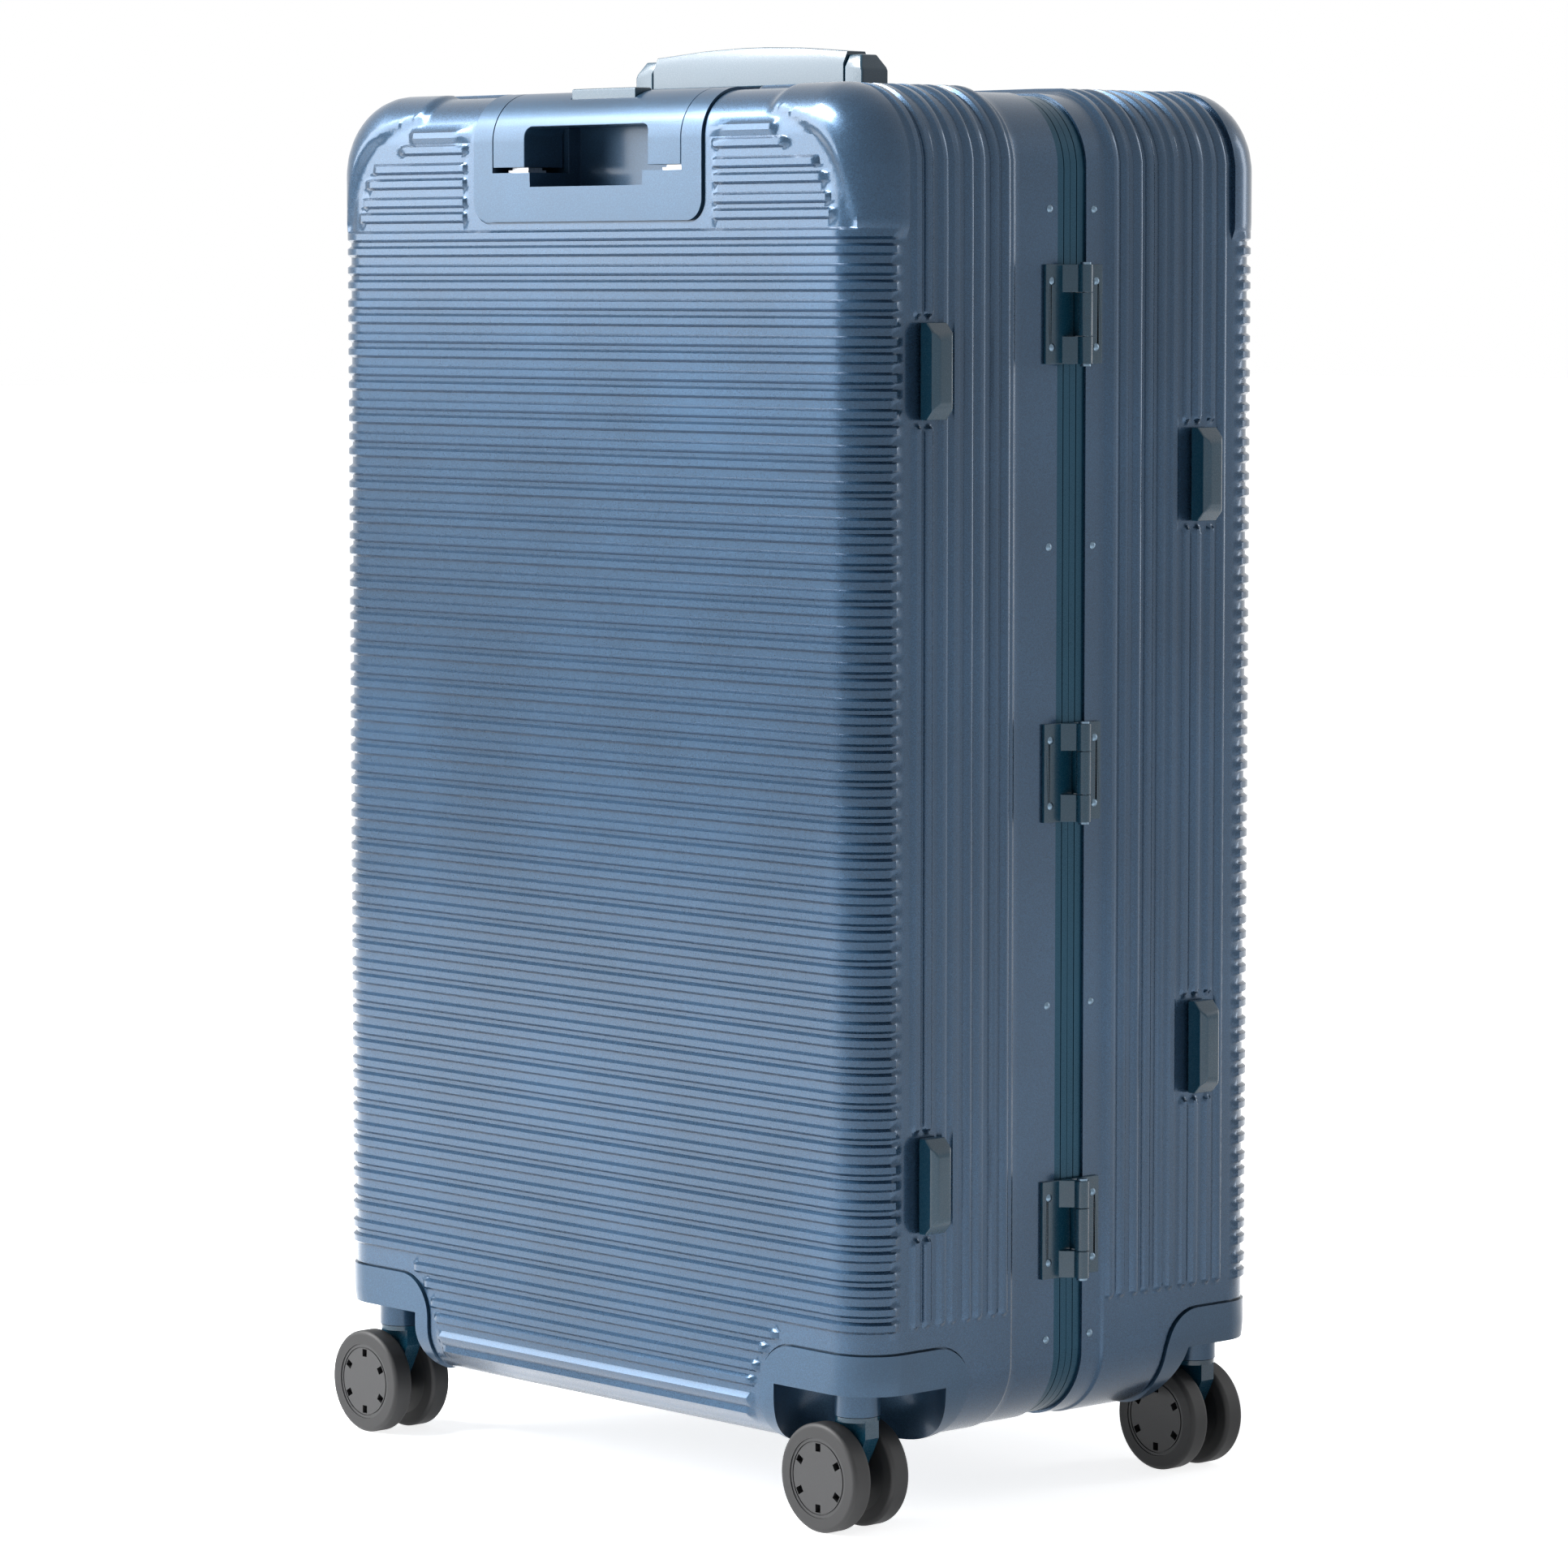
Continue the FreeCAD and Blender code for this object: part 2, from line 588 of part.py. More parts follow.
def make_fork(cx, cy):
    """Stem, collar and a flat arm between the wheels; the arm trails towards -X."""
    px, py = cx, cy
    ax = px - TRAIL
    h = ARM_T / 2.0
    stem = cyl(STEM_R, (px, py, SOCKET_Z - 6), (0, 0, 1), 30.0)
    collar = cyl(COLLAR_R, (px, py, 2 * WHEEL_R + 1.0), (0, 0, 1), SOCKET_Z - 0.4 - 2 * WHEEL_R - 1.0)
    arm = prism_xz([(px - 12, 61.5), (px + 11.5, 61.5), (px + 11.5, 52), (px + 8, 45),
                    (ax + 5.5, WHEEL_R - 7), (ax - 5.5, WHEEL_R - 7), (ax - 8.6, WHEEL_R + 3)],
                   py - h, py + h)
    eye = cyl(9.0, (ax, py - h, WHEEL_R), (0, 1, 0), ARM_T)
    body = joined([stem, collar, arm, eye])
    return body.cut(cyl(AXLE_R, (ax, py - 20, WHEEL_R), (0, 1, 0), 40.0))


def make_axle(cx, cy):
    return cyl(AXLE_R, (cx - TRAIL, cy - WHEEL_OFF - 3, WHEEL_R), (0, 1, 0), 2 * WHEEL_OFF + 6)


def make_tyre(cx, cy, side):
    y0 = cy + side * WHEEL_OFF - WHEEL_W / 2
    ring = cyl(WHEEL_R, (cx - TRAIL, y0, WHEEL_R), (0, 1, 0), WHEEL_W)
    edges = [e for e in ring.Edges if e.BoundBox.YLength < 1e-6]
    ring = ring.makeFillet(2.5, edges)
    return ring.cut(cyl(WHEEL_R - TYRE_T, (cx - TRAIL, y0 - 1, WHEEL_R), (0, 1, 0), WHEEL_W + 2))


def make_hub(cx, cy, side):
    """Disc with a closed outer face, six pockets and a boss towards the arm."""
    r = WHEEL_R - TYRE_T - TYRE_FIT
    ax = cx - TRAIL
    inner = cy + side * (WHEEL_OFF - WHEEL_W / 2 + 0.5)
    length = WHEEL_W - 1.0
    disc = cyl(r, (ax, inner, WHEEL_R), (0, side, 0), length)
    near = cy + side * (ARM_T / 2 + 0.3)
    boss = cyl(5.0, (ax, near, WHEEL_R), (0, side, 0), 4.0)
    body = disc.fuse(boss)
    cuts = [cyl(AXLE_R + FIT, (ax, near - side, WHEEL_R), (0, side, 0),
                WHEEL_OFF + 3.4 - ARM_T / 2 + 0.7)]
    outer = inner + side * length
    ring = cyl(r - 1.6, (ax, outer - side * 0.6, WHEEL_R), (0, side, 0), 1.0)
    cuts.append(ring.cut(cyl(r - 2.4, (ax, outer - side * 2, WHEEL_R), (0, side, 0), 4.0)))
    for k in range(6):
        y0, y1 = sorted((outer - side * 4.0, outer + side * 1.0))
        slot = box(-2.0, 2.0, y0, y1, 14.5, 19.0)
        slot.rotate(V(0, 0, 0), V(0, 1, 0), 60 * k)
        slot.translate(V(ax, 0, WHEEL_R))
        cuts.append(slot)
    return body.cut(cuts)


def build():
    nodes = {}
    skin = outer_skin(BAND_START)
    rear_shell = make_shell(skin, True)
    lid_shell = flip_y(make_shell(outer_skin(LID_BAND_START), False))
    nodes["rear_shell"] = [rear_shell]
    nodes["rear_frame"] = [make_frame(True)]
    nodes["frame_gasket"] = [make_gasket()]
    housing = make_wheel_housing(skin)
    nodes["rear_wheel_housings"] = [housing, flip_x(housing)]
    nodes["rear_side_feet"] = [make_foot(REAR_FOOT_Y, z) for z in REAR_FOOT_Z]
    nodes["rear_hinge_leaves"] = [make_leaf(z, True) for z in HINGE_Z]
    nodes["hinge_pins"] = [make_pin(z) for z in HINGE_Z]
    nodes["rear_rivets"] = make_rivets()
    nodes["trolley_housing"] = [make_trolley_housing(skin)]

    a, b = stage(0)
    ends = (-1, 1)
    nodes["trolley_outer_tubes"] = [tube(s * TUBE_X, a, b, TUBE_WALL, TUBE_FOOT, LEDGE)
                                    for s in ends]
    foot = box(-TUBE_X - 14, TUBE_X + 14, -HD + BACK_WALL, TUBE_Y + b / 2 - 1,
               TUBE_FOOT - 8, TUBE_FOOT)
    nodes["trolley_foot_bracket"] = [foot]
    a, b = stage(1)
    nodes["trolley_middle_tubes"] = [tube(s * TUBE_X, a, b, TUBE_WALL, TUBE_FOOT + 6, LEDGE + 1.5)
                                     for s in ends]
    a, b = stage(2)
    nodes["trolley_inner_tubes"] = [tube(s * TUBE_X, a, b, TUBE_WALL, TUBE_FOOT + 12,
                                         GRIP_BOTTOM + 22) for s in ends]
    nodes["trolley_grip"] = [make_grip(skin)]
    nodes["release_button"] = [make_button()]

    bar = handle_bar(TOP_HANDLE_H)
    nodes["top_handle"] = [on_top(bar)]
    nodes["top_handle_mounts"] = [on_top(s) for s in handle_blocks(TOP_HANDLE_H)]
    bar = handle_bar(SIDE_HANDLE_H)
    nodes["side_handle"] = [on_side(bar)]
    nodes["side_handle_mounts"] = [on_side(s) for s in handle_blocks(SIDE_HANDLE_H)]

    nodes["latch_bases"] = [make_latch_base(z) for z in LATCH_Z]
    nodes["latch_lever_upper"] = [make_latch_lever(LATCH_Z[0])]
    nodes["latch_lever_lower"] = [make_latch_lever(LATCH_Z[1])]
    nodes["latch_strikes"] = [make_strike(z) for z in LATCH_Z]

    wheel_zone = (HW - HOUSING_X - 10, HW, -HD, -HD + HOUSING_Y + 9, 0, HOUSING_TOP + 9)
    trolley_zone = (-HOUSE_HALF - 9, HOUSE_HALF + 9, -HD, -HD + HOUSE_DEEP + 9,
                    HOUSE_BOTTOM - 9, TOP)
    leg_low = TOP - BAND_SET - LEG_DOWN - 2
    half = LEG_W / 2 + 5
    top_zone = (LEG_X - half, LEG_X + half, HANDLE_Y - 8, HANDLE_Y + 8, leg_low, TOP)
    leg_in = -HW + BAND_SET + LEG_DOWN + 2
    zc = SIDE_HANDLE_Z
    side_a = (-HW, leg_in, HANDLE_Y - 8, HANDLE_Y + 8, zc + LEG_X - half, zc + LEG_X + half)
    side_b = (-HW, leg_in, HANDLE_Y - 8, HANDLE_Y + 8, zc - LEG_X - half, zc - LEG_X + half)
    nodes["rear_lining"] = [make_lining(REAR_LINING_BACK, wheel_zone,
                                        [trolley_zone, top_zone, side_a, side_b])]
    nodes["lid_lining"] = [flip_y(make_lining(LID_LINING_BACK, wheel_zone, []))]
    nodes["packing_straps"] = [make_straps()]
    nodes["strap_buckle"] = [make_buckle()]
    nodes["divider_panel"] = [outline(LINING_SET + LINING_T, 12.0, 14.0)]

    nodes["lid_shell"] = [lid_shell]
    nodes["lid_frame"] = [flip_y(make_frame(False))]
    nodes["lid_wheel_housings"] = [flip_y(s) for s in (housing, flip_x(housing))]
    nodes["lid_side_feet"] = [make_foot(LID_FOOT_Y, z) for z in LID_FOOT_Z]
    nodes["lid_hinge_leaves"] = [flip_y(make_leaf(z, False)) for z in HINGE_Z]
    nodes["lid_rivets"] = [flip_y(s) for s in make_rivets()]

    px, py = pivot()
    places = {"rear_right": (px, py), "rear_left": (-px, py),
              "lid_right": (px, -py), "lid_left": (-px, -py)}
    for name, (cx, cy) in places.items():
        nodes["caster_fork_" + name] = [make_fork(cx, cy)]
        nodes["caster_axle_" + name] = [make_axle(cx, cy)]
        for tag, side in (("a", -1), ("b", 1)):
            nodes["tyre_" + name + "_" + tag] = [make_tyre(cx, cy, side)]
            nodes["hub_" + name + "_" + tag] = [make_hub(cx, cy, side)]
    return nodes


os.makedirs("parts", exist_ok=True)
for name, solids in build().items():
    pieces = []
    for item in solids:
        pieces += item.Solids
    shape = pieces[0] if len(pieces) == 1 else Part.makeCompound(pieces)
    shape.exportStep("parts/" + name + ".step")
    lo = shape.BoundBox
    print("%-26s %2d solids valid=%s  x %.1f..%.1f  y %.1f..%.1f  z %.1f..%.1f  %.1f cm3" % (
        name, len(pieces), shape.isValid(), lo.XMin, lo.XMax, lo.YMin, lo.YMax,
        lo.ZMin, lo.ZMax, shape.Volume / 1000.0))
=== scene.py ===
import json
import math
import bpy
import numpy as np
from mathutils import Matrix, Vector

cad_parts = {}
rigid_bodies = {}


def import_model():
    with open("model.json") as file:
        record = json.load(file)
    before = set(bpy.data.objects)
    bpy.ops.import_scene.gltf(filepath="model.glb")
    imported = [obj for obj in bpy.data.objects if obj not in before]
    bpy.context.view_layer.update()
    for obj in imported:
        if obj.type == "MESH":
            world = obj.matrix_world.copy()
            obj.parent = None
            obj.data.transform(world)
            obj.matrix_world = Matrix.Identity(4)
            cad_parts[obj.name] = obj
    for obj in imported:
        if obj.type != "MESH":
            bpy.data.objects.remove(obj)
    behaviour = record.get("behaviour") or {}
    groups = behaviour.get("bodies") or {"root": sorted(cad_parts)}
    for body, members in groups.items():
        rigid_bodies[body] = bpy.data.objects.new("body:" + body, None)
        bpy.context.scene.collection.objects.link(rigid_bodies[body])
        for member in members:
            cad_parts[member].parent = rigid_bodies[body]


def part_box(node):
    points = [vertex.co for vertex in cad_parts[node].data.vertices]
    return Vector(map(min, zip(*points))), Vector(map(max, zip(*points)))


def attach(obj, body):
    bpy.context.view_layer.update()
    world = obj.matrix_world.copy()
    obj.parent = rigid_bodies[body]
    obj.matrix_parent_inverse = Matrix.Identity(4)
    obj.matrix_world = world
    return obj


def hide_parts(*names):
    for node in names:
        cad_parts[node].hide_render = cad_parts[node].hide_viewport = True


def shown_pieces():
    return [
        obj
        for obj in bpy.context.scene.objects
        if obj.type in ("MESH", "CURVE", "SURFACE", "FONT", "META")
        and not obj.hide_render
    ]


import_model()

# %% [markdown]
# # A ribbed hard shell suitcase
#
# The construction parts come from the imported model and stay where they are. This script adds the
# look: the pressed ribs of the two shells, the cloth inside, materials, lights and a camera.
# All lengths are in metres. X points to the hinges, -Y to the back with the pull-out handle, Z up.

SCENE = bpy.context.scene


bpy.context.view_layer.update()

# %%
SET_CAD = 0.0005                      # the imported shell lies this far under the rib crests
shell_lo, shell_hi = (np.array(v, float) for v in np.array(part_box("rear_shell")).reshape(2, 3))
lid_lo, lid_hi = (np.array(v, float) for v in np.array(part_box("lid_shell")).reshape(2, 3))
HW = shell_hi[0] + SET_CAD            # half width at the crests
HD = -shell_lo[1] + SET_CAD           # depth of one half at the crests
Z_LOW = shell_lo[2] - SET_CAD
Z_TOP = shell_hi[2] + SET_CAD
Z_MID = (Z_LOW + Z_TOP) / 2
HH = (Z_TOP - Z_LOW) / 2
CORNER = 0.046                        # outline radius seen from the back
EDGE = 0.028                          # rounding from the wide face to the sides
BASE = 0.0021                         # rib height: the valleys lie this far under the crests
BAND = 0.0032                         # depth of the flat band beside the frame
BAND_END = -shell_hi[1]
print("half width %.4f, half depth %.4f, z %.4f to %.4f" % (HW, HD, Z_LOW, Z_TOP))

# %% [markdown]
# ## Small tools for meshes
#
# Every new surface is made from arrays of points. `weld` joins patches that share edge points, and
# `solid_sheet` gives the surface a back side and rims, so that the piece is closed.

# %%
def grid_faces(rows, cols):
    """Quads of a grid: corner (i, j), (i, j+1), (i+1, j+1), (i+1, j)."""
    i, j = np.meshgrid(np.arange(rows - 1), np.arange(cols - 1), indexing="ij")
    a = (i * cols + j).ravel()
    return np.stack([a, a + 1, a + cols + 1, a + cols], 1)


def weld(patches):
    """Stack (front, back) grids and merge points whose front points agree to 0.01 mm."""
    fronts, backs, faces, start = [], [], [], 0
    for front, back in patches:
        rows, cols = front.shape[:2]
        fronts.append(front.reshape(-1, 3))
        backs.append(back.reshape(-1, 3))
        faces.append(grid_faces(rows, cols) + start)
        start += rows * cols
    front, back, face = np.vstack(fronts), np.vstack(backs), np.vstack(faces)
    key = np.round(front * 1e5).astype(np.int64)
    _, first, inverse = np.unique(key, axis=0, return_index=True, return_inverse=True)
    face = inverse.ravel()[face]
    keep = (face[:, 0] != face[:, 1]) & (face[:, 2] != face[:, 3])
    keep &= (face[:, 0] != face[:, 3]) & (face[:, 1] != face[:, 2])
    return front[first], back[first], face[keep]


def new_mesh(name, points, faces):
    mesh = bpy.data.meshes.new(name)
    mesh.from_pydata(points.tolist(), [], faces.tolist())
    mesh.validate()
    mesh.update()
    obj = bpy.data.objects.new(name, mesh)
    SCENE.collection.objects.link(obj)
    return obj


def smooth(obj, degrees=35):
    obj.data.shade_smooth()
    obj.data.set_sharp_from_angle(angle=math.radians(degrees))
    return obj


def solid_sheet(name, patches, flip=False, degrees=35):
    """A closed piece: front faces, back faces turned over, and quads along every free edge."""
    front, back, face = weld(patches)
    n = len(front)
    edges = np.stack([face, np.roll(face, -1, 1)], 2).reshape(-1, 2)
    key = np.sort(edges, 1)
    _, index, count = np.unique(key, axis=0, return_index=True, return_counts=True)
    rim = edges[index[count == 1]]
    walls = np.stack([rim[:, 1], rim[:, 0], rim[:, 0] + n, rim[:, 1] + n], 1)
    faces = np.vstack([face, face[:, ::-1] + n, walls])
    if flip:
        faces = faces[:, ::-1]
    obj = new_mesh(name, np.vstack([front, back]), faces)
    print("%-22s %6d points %6d faces" % (name, 2 * n, len(faces)))
    return smooth(obj, degrees)


def step(x):
    """0 below 0, 1 above 1, a smooth S between."""
    x = np.clip(x, 0, 1)
    return x * x * (3 - 2 * x)


# %% [markdown]
# ## The rib pattern
#
# A rib is a low round-ended bar. Its height at a point depends on the distance from the rib's
# centre line: full up to half the crest width, then an S-shaped slope down to the valley.

# %%
CREST = 0.0017                        # half width of a rib's flat crest
SLOPE = 0.0016                        # width of each flank
PERIOD = 0.01925                      # two ribs
PAIR = 0.0086                         # from one rib of a pair to the other


def bar_height(along, across, start, end):
    """Height from 0 to 1 of a round-ended bar from start to end on the line across = 0."""
    reach = CREST + SLOPE
    beyond = np.maximum(np.maximum(start + reach - along, along - end + reach), 0)
    distance = np.hypot(across, beyond)
    return 1 - step((distance - CREST) / SLOPE)


def wide_ribs():
    """Centre height and the two ends, from the middle, of each rib on a wide face."""
    top = Z_TOP - 0.0229
    out = []
    short_top = [0.1565, 0.1650, 0.1900, 0.1955, 0.1990, 0.2020]
    short_low = [0.1575, 0.1490, 0.1420, 0.1385, 0.1370, 0.1345]
    full = 0.202 + 0.028 * math.radians(84)
    for k in range(74):
        z = top - (k // 2) * PERIOD - (k % 2) * PAIR
        if k < 6:
            out.append((z, short_top[k], "top"))
        elif k < 68:
            out.append((z, full, "full"))
        else:
            out.append((z, short_low[k - 68], "low"))
    return out


WIDE = wide_ribs()
HOUSE_EDGE = 0.1045                   # the short ribs stop here, beside the pull-out handle
print("ribs on a wide face:", len(WIDE))


def corner_bulge(x, z):
    """Raised smooth cap on the two top corners, bounded by a curve (side gap) x (top gap)."""
    u = np.maximum(HW - np.abs(x), 0) * 1000
    v = np.maximum(Z_TOP - z, 0) * 1000
    product = (u + 2) * (v + 2)
    inside = 1 - step((product - 1150) / 260)
    return inside * (1 - step((u - 78) / 8)) * (1 - step((v - 76) / 8))


def wide_height(a, x, z, with_house):
    """Rib height on a wide face: a is the distance from the middle measured along the surface."""
    h = np.zeros_like(a)
    side = np.abs(a)
    for zc, end, kind in WIDE:
        rows = np.abs(z - zc) < 0.006
        if not rows.any():
            continue
        start = HOUSE_EDGE if (kind == "top" and with_house) else -1.0
        h[rows] = np.maximum(h[rows], bar_height(side[rows], (z - zc)[rows], start, end))
    return np.maximum(h, corner_bulge(x, z) * 1.15)

# %% [markdown]
# ## The wide panel of a shell
#
# The flat field is a rectangle with round corners. Its rows are as fine as the ribs need and its
# columns are coarse except at the ribs' ends. Beyond the field's edge the surface turns through a
# quarter circle, so a point is edge + radius * (sin of the turn) outwards and (1 - cos) backwards.

# %%
FIELD_R = CORNER - EDGE
FIELD_X = HW - EDGE
FIELD_Z = HH - EDGE
TURN = np.linspace(0, math.pi / 2, 15)[1:]
LIP = 0.002                           # straight run after the quarter circle


def edge_of_field(z):
    """Half width of the field at height z from its middle, and the outward normal there."""
    d = np.clip((np.abs(z) - (FIELD_Z - FIELD_R)) / FIELD_R, 0, 1)
    x = FIELD_X - FIELD_R + FIELD_R * np.sqrt(1 - d * d)
    return x, np.stack([np.sqrt(1 - d * d), np.sign(z) * d], -1)


def pressed(x, z, nx, nz, turn, lip, height):
    """Point of the surface pushed out by height from the valley level; y grows backwards."""
    radius = EDGE - BASE + height
    out = radius * np.sin(turn)
    y = -(HD - EDGE) - radius * np.cos(turn) + lip
    return np.stack([x + nx * out, y, Z_MID + z + nz * out], -1)


def tray_sets(rows, share, edge, normal, arc, lips):
    """The field and the four turned edges of a tray, as grids of (x, z, nx, nz, turn, lip).

    The field's columns are at share * edge, so they close in where the outline rounds its corners.
    On the turned edges (x, z) stays at the field's edge and (nx, nz) is the way out.
    """
    half = edge[:, None] * share[None, :]
    field_x = np.concatenate([-half[:, :0:-1], half], 1)
    zero = np.zeros_like(field_x)
    count = len(arc)
    column = [np.repeat(v[:, None], count, 1) for v in (edge, rows, normal[:, 0], normal[:, 1])]
    side = column + [np.repeat(v[None, :], len(rows), 0) for v in (arc, lips)]
    field = [field_x, np.repeat(rows[:, None], field_x.shape[1], 1), zero, zero, zero, zero]
    left = [-side[0], side[1], -side[2], side[3], side[4], side[5]]
    out = [tuple(np.concatenate([a[:, ::-1], b, c], 1) for a, b, c in zip(left, field, side))]
    for sign in (-1, 1):
        x = np.repeat(field_x[-1][None, :], count + 1, 0)
        turn = np.repeat(np.concatenate([[0], arc])[:, None], x.shape[1], 1)
        lip = np.repeat(np.concatenate([[0], lips])[:, None], x.shape[1], 1)
        order = slice(None) if sign > 0 else slice(None, None, -1)
        out.append(tuple(v[order] for v in (x, np.full_like(x, sign * rows[-1]),
                                            np.zeros_like(x), np.full_like(x, sign),
                                            turn, lip)))
    return out


def panel_patches(with_house):
    """(front, back) grids of a wide panel; each rib has six rows, at its flanks' ends and middles."""
    ribs = np.array([z for z, _, _ in WIDE]) - Z_MID
    flank = np.array([-0.0033, -0.0025, -0.0017, 0.0017, 0.0025, 0.0033])
    fine = (ribs[:, None] + flank[None, :]).ravel()
    bend = FIELD_Z - FIELD_R + FIELD_R * np.sin(np.linspace(0, math.pi / 2, 12))
    smooth_top = np.arange(fine.max() + 0.003, FIELD_Z - 0.002, 0.003)
    rows = np.unique(np.concatenate([fine, bend, -bend, smooth_top, -smooth_top]))
    rows = rows[(np.abs(rows) < FIELD_Z - 1e-4)]
    rows = rows[np.concatenate([[True], np.diff(rows) > 0.00045])]
    rows = np.concatenate([[-FIELD_Z], rows, [FIELD_Z]])
    ends = np.concatenate([np.linspace(0, 0.09, 4), np.linspace(0.1, 0.112, 8), [0.121],
                           np.linspace(0.130, 0.168, 16), np.linspace(0.1708, FIELD_X, 12)])
    edge, normal = edge_of_field(rows)
    arc = np.concatenate([TURN, [math.pi / 2]])
    lips = np.concatenate([np.zeros(len(TURN)), [LIP]])
    out = []
    for x, z, nx, nz, t, lip in tray_sets(rows, ends / FIELD_X, edge, normal, arc, lips):
        flat = pressed(x, z, nx, nz, t, lip, np.full_like(x, BASE))
        along = np.sign(x) * (np.abs(x) + np.abs(nx) * EDGE * t)
        level = Z_MID + z + nz * EDGE * np.sin(t)
        h = wide_height(along, flat[..., 0], level, with_house)
        front = pressed(x, z, nx, nz, t, lip, h * BASE)
        back = pressed(x, z, nx, nz, t, lip, np.full_like(x, BASE - 0.0046))
        out.append((front, back))
    return out


# %% [markdown]
# ## The belt round a shell
#
# The belt runs round the outline from the panel to the frame. It is a grid: one direction follows
# the outline, the other is depth. Its ribs run along the outline; then a step leads down to the
# flat band that is riveted to the frame.

# %%
def outline_points(s, inset):
    """Points at share s of each span: list of (x, z) on the rounded rectangle, set in."""
    r = CORNER - inset
    x1, z1 = HW - inset - r, HH - inset - r
    out, nrm = [], []
    for kind, value in s:
        if kind == "right":
            out.append((x1 + r, value)), nrm.append((1, 0))
        elif kind == "left":
            out.append((-x1 - r, value)), nrm.append((-1, 0))
        elif kind == "top":
            out.append((value, z1 + r)), nrm.append((0, 1))
        elif kind == "low":
            out.append((value, -z1 - r)), nrm.append((0, -1))
        else:
            sx, sz = kind
            c, d = math.cos(value), math.sin(value)
            out.append((sx * (x1 + r * c), sz * (z1 + r * d)))
            nrm.append((sx * c, sz * d))
    return np.array(out), np.array(nrm)


def spans(marks_side, marks_top):
    """Sample list round the outline, dense near each mark (a rib's end) and coarse elsewhere."""
    z1, x1 = HH - CORNER, HW - CORNER
    def ladder(limit, marks):
        base = np.linspace(-limit, limit, 25)
        near = [m + d for m in marks for d in np.linspace(-0.006, 0.006, 10)]
        full = np.unique(np.round(np.concatenate([base, near]), 5))
        full = full[(full >= -limit) & (full <= limit)]
        return full[np.concatenate([[True], np.diff(full) > 0.0008])]
    side, top = ladder(z1, marks_side), ladder(x1, marks_top)
    quarter = np.linspace(0, math.pi / 2, 15)[1:-1]
    s = [("right", v) for v in side]
    s += [((1, 1), v) for v in quarter]
    s += [("top", v) for v in top[::-1]]
    s += [((-1, 1), v) for v in quarter[::-1]]
    s += [("left", v) for v in side[::-1]]
    s += [((-1, -1), v) for v in quarter]
    s += [("low", v) for v in top]
    s += [((1, -1), v) for v in quarter[::-1]]
    return s + [s[0]]


def belt_patches(rib_y, band_start, feet, house):
    """Inset from the outline = BASE * (1 - rib height) + (BAND - BASE) * drop at the band.

    feet: (y, z) of the side feet; house: True where the pull-out handle's housing cuts in."""
    low_end = Z_LOW + 0.0705 - Z_MID
    marks = [low_end]
    for y, zc in feet:
        marks += [zc - Z_MID - 0.030, zc - Z_MID + 0.030]
    s = spans(marks, [-0.104, 0.104] if house else [])
    y0 = -(HD - EDGE) + LIP
    field_end = -band_start
    ys = np.concatenate([np.arange(y0, field_end - 0.004, 0.00115),
                         np.linspace(field_end - 0.003, field_end, 8),
                         np.linspace(field_end + 0.004, -BAND_END, 4)])
    normal_xz = outline_points(s, 0.0)[1]
    xz, zz = outline_points(s, 0.0)[0].T
    h = np.zeros((len(s), len(ys)))
    on_side = np.array([k in ("right", "left") for k, _ in s])
    is_low = np.array([(k == "low") or (isinstance(k, tuple) and k[1] < 0) for k, _ in s])
    on_top = np.array([k == "top" for k, _ in s])
    for yr in rib_y:
        start = np.where(is_low, 1.0, np.maximum(low_end + 0.0033 - zz, 0))
        beyond = np.where(on_side | is_low, start, 0.0)
        for fy, fz in feet:
            if abs(fy - yr) < 0.0105:
                gap = np.maximum(0.0285 + 0.0033 - np.abs(zz - (fz - Z_MID)), 0)
                beyond = np.where((xz > 0) & on_side, np.maximum(beyond, gap), beyond)
        if house and yr < -0.105:
            gap = np.maximum(0.1045 + 0.0033 - np.abs(xz), 0)
            beyond = np.where(on_top, np.maximum(beyond, gap), beyond)
        distance = np.hypot(beyond[:, None], (ys - yr)[None, :])
        h = np.maximum(h, 1 - step((distance - CREST) / SLOPE))
    drop = step((ys - (field_end - 0.0025)) / 0.0025)[None, :]
    inset = BASE * (1 - h) + (BAND - BASE) * drop
    points = outline_points(s, 0.0)[0]
    front = np.empty((len(s), len(ys), 3))
    front[..., 0] = points[:, :1] - normal_xz[:, :1] * inset
    front[..., 2] = Z_MID + points[:, 1:] - normal_xz[:, 1:] * inset
    front[..., 1] = ys[None, :]
    back = front.copy()
    back[..., 0] = points[:, :1] - normal_xz[:, :1] * 0.0046
    back[..., 2] = Z_MID + points[:, 1:] - normal_xz[:, 1:] * 0.0046
    return [(front, back)]


def mirrored(patches):
    return [(f * [1, -1, 1], b * [1, -1, 1]) for f, b in patches]

# %% [markdown]
# ## Cutting the openings
#
# The plates of the casters and of the pull-out handle sit in openings of the shells. A cutter is a
# straight block with a round-cornered outline; a boolean modifier takes it away, and the result is
# stored as a plain mesh.

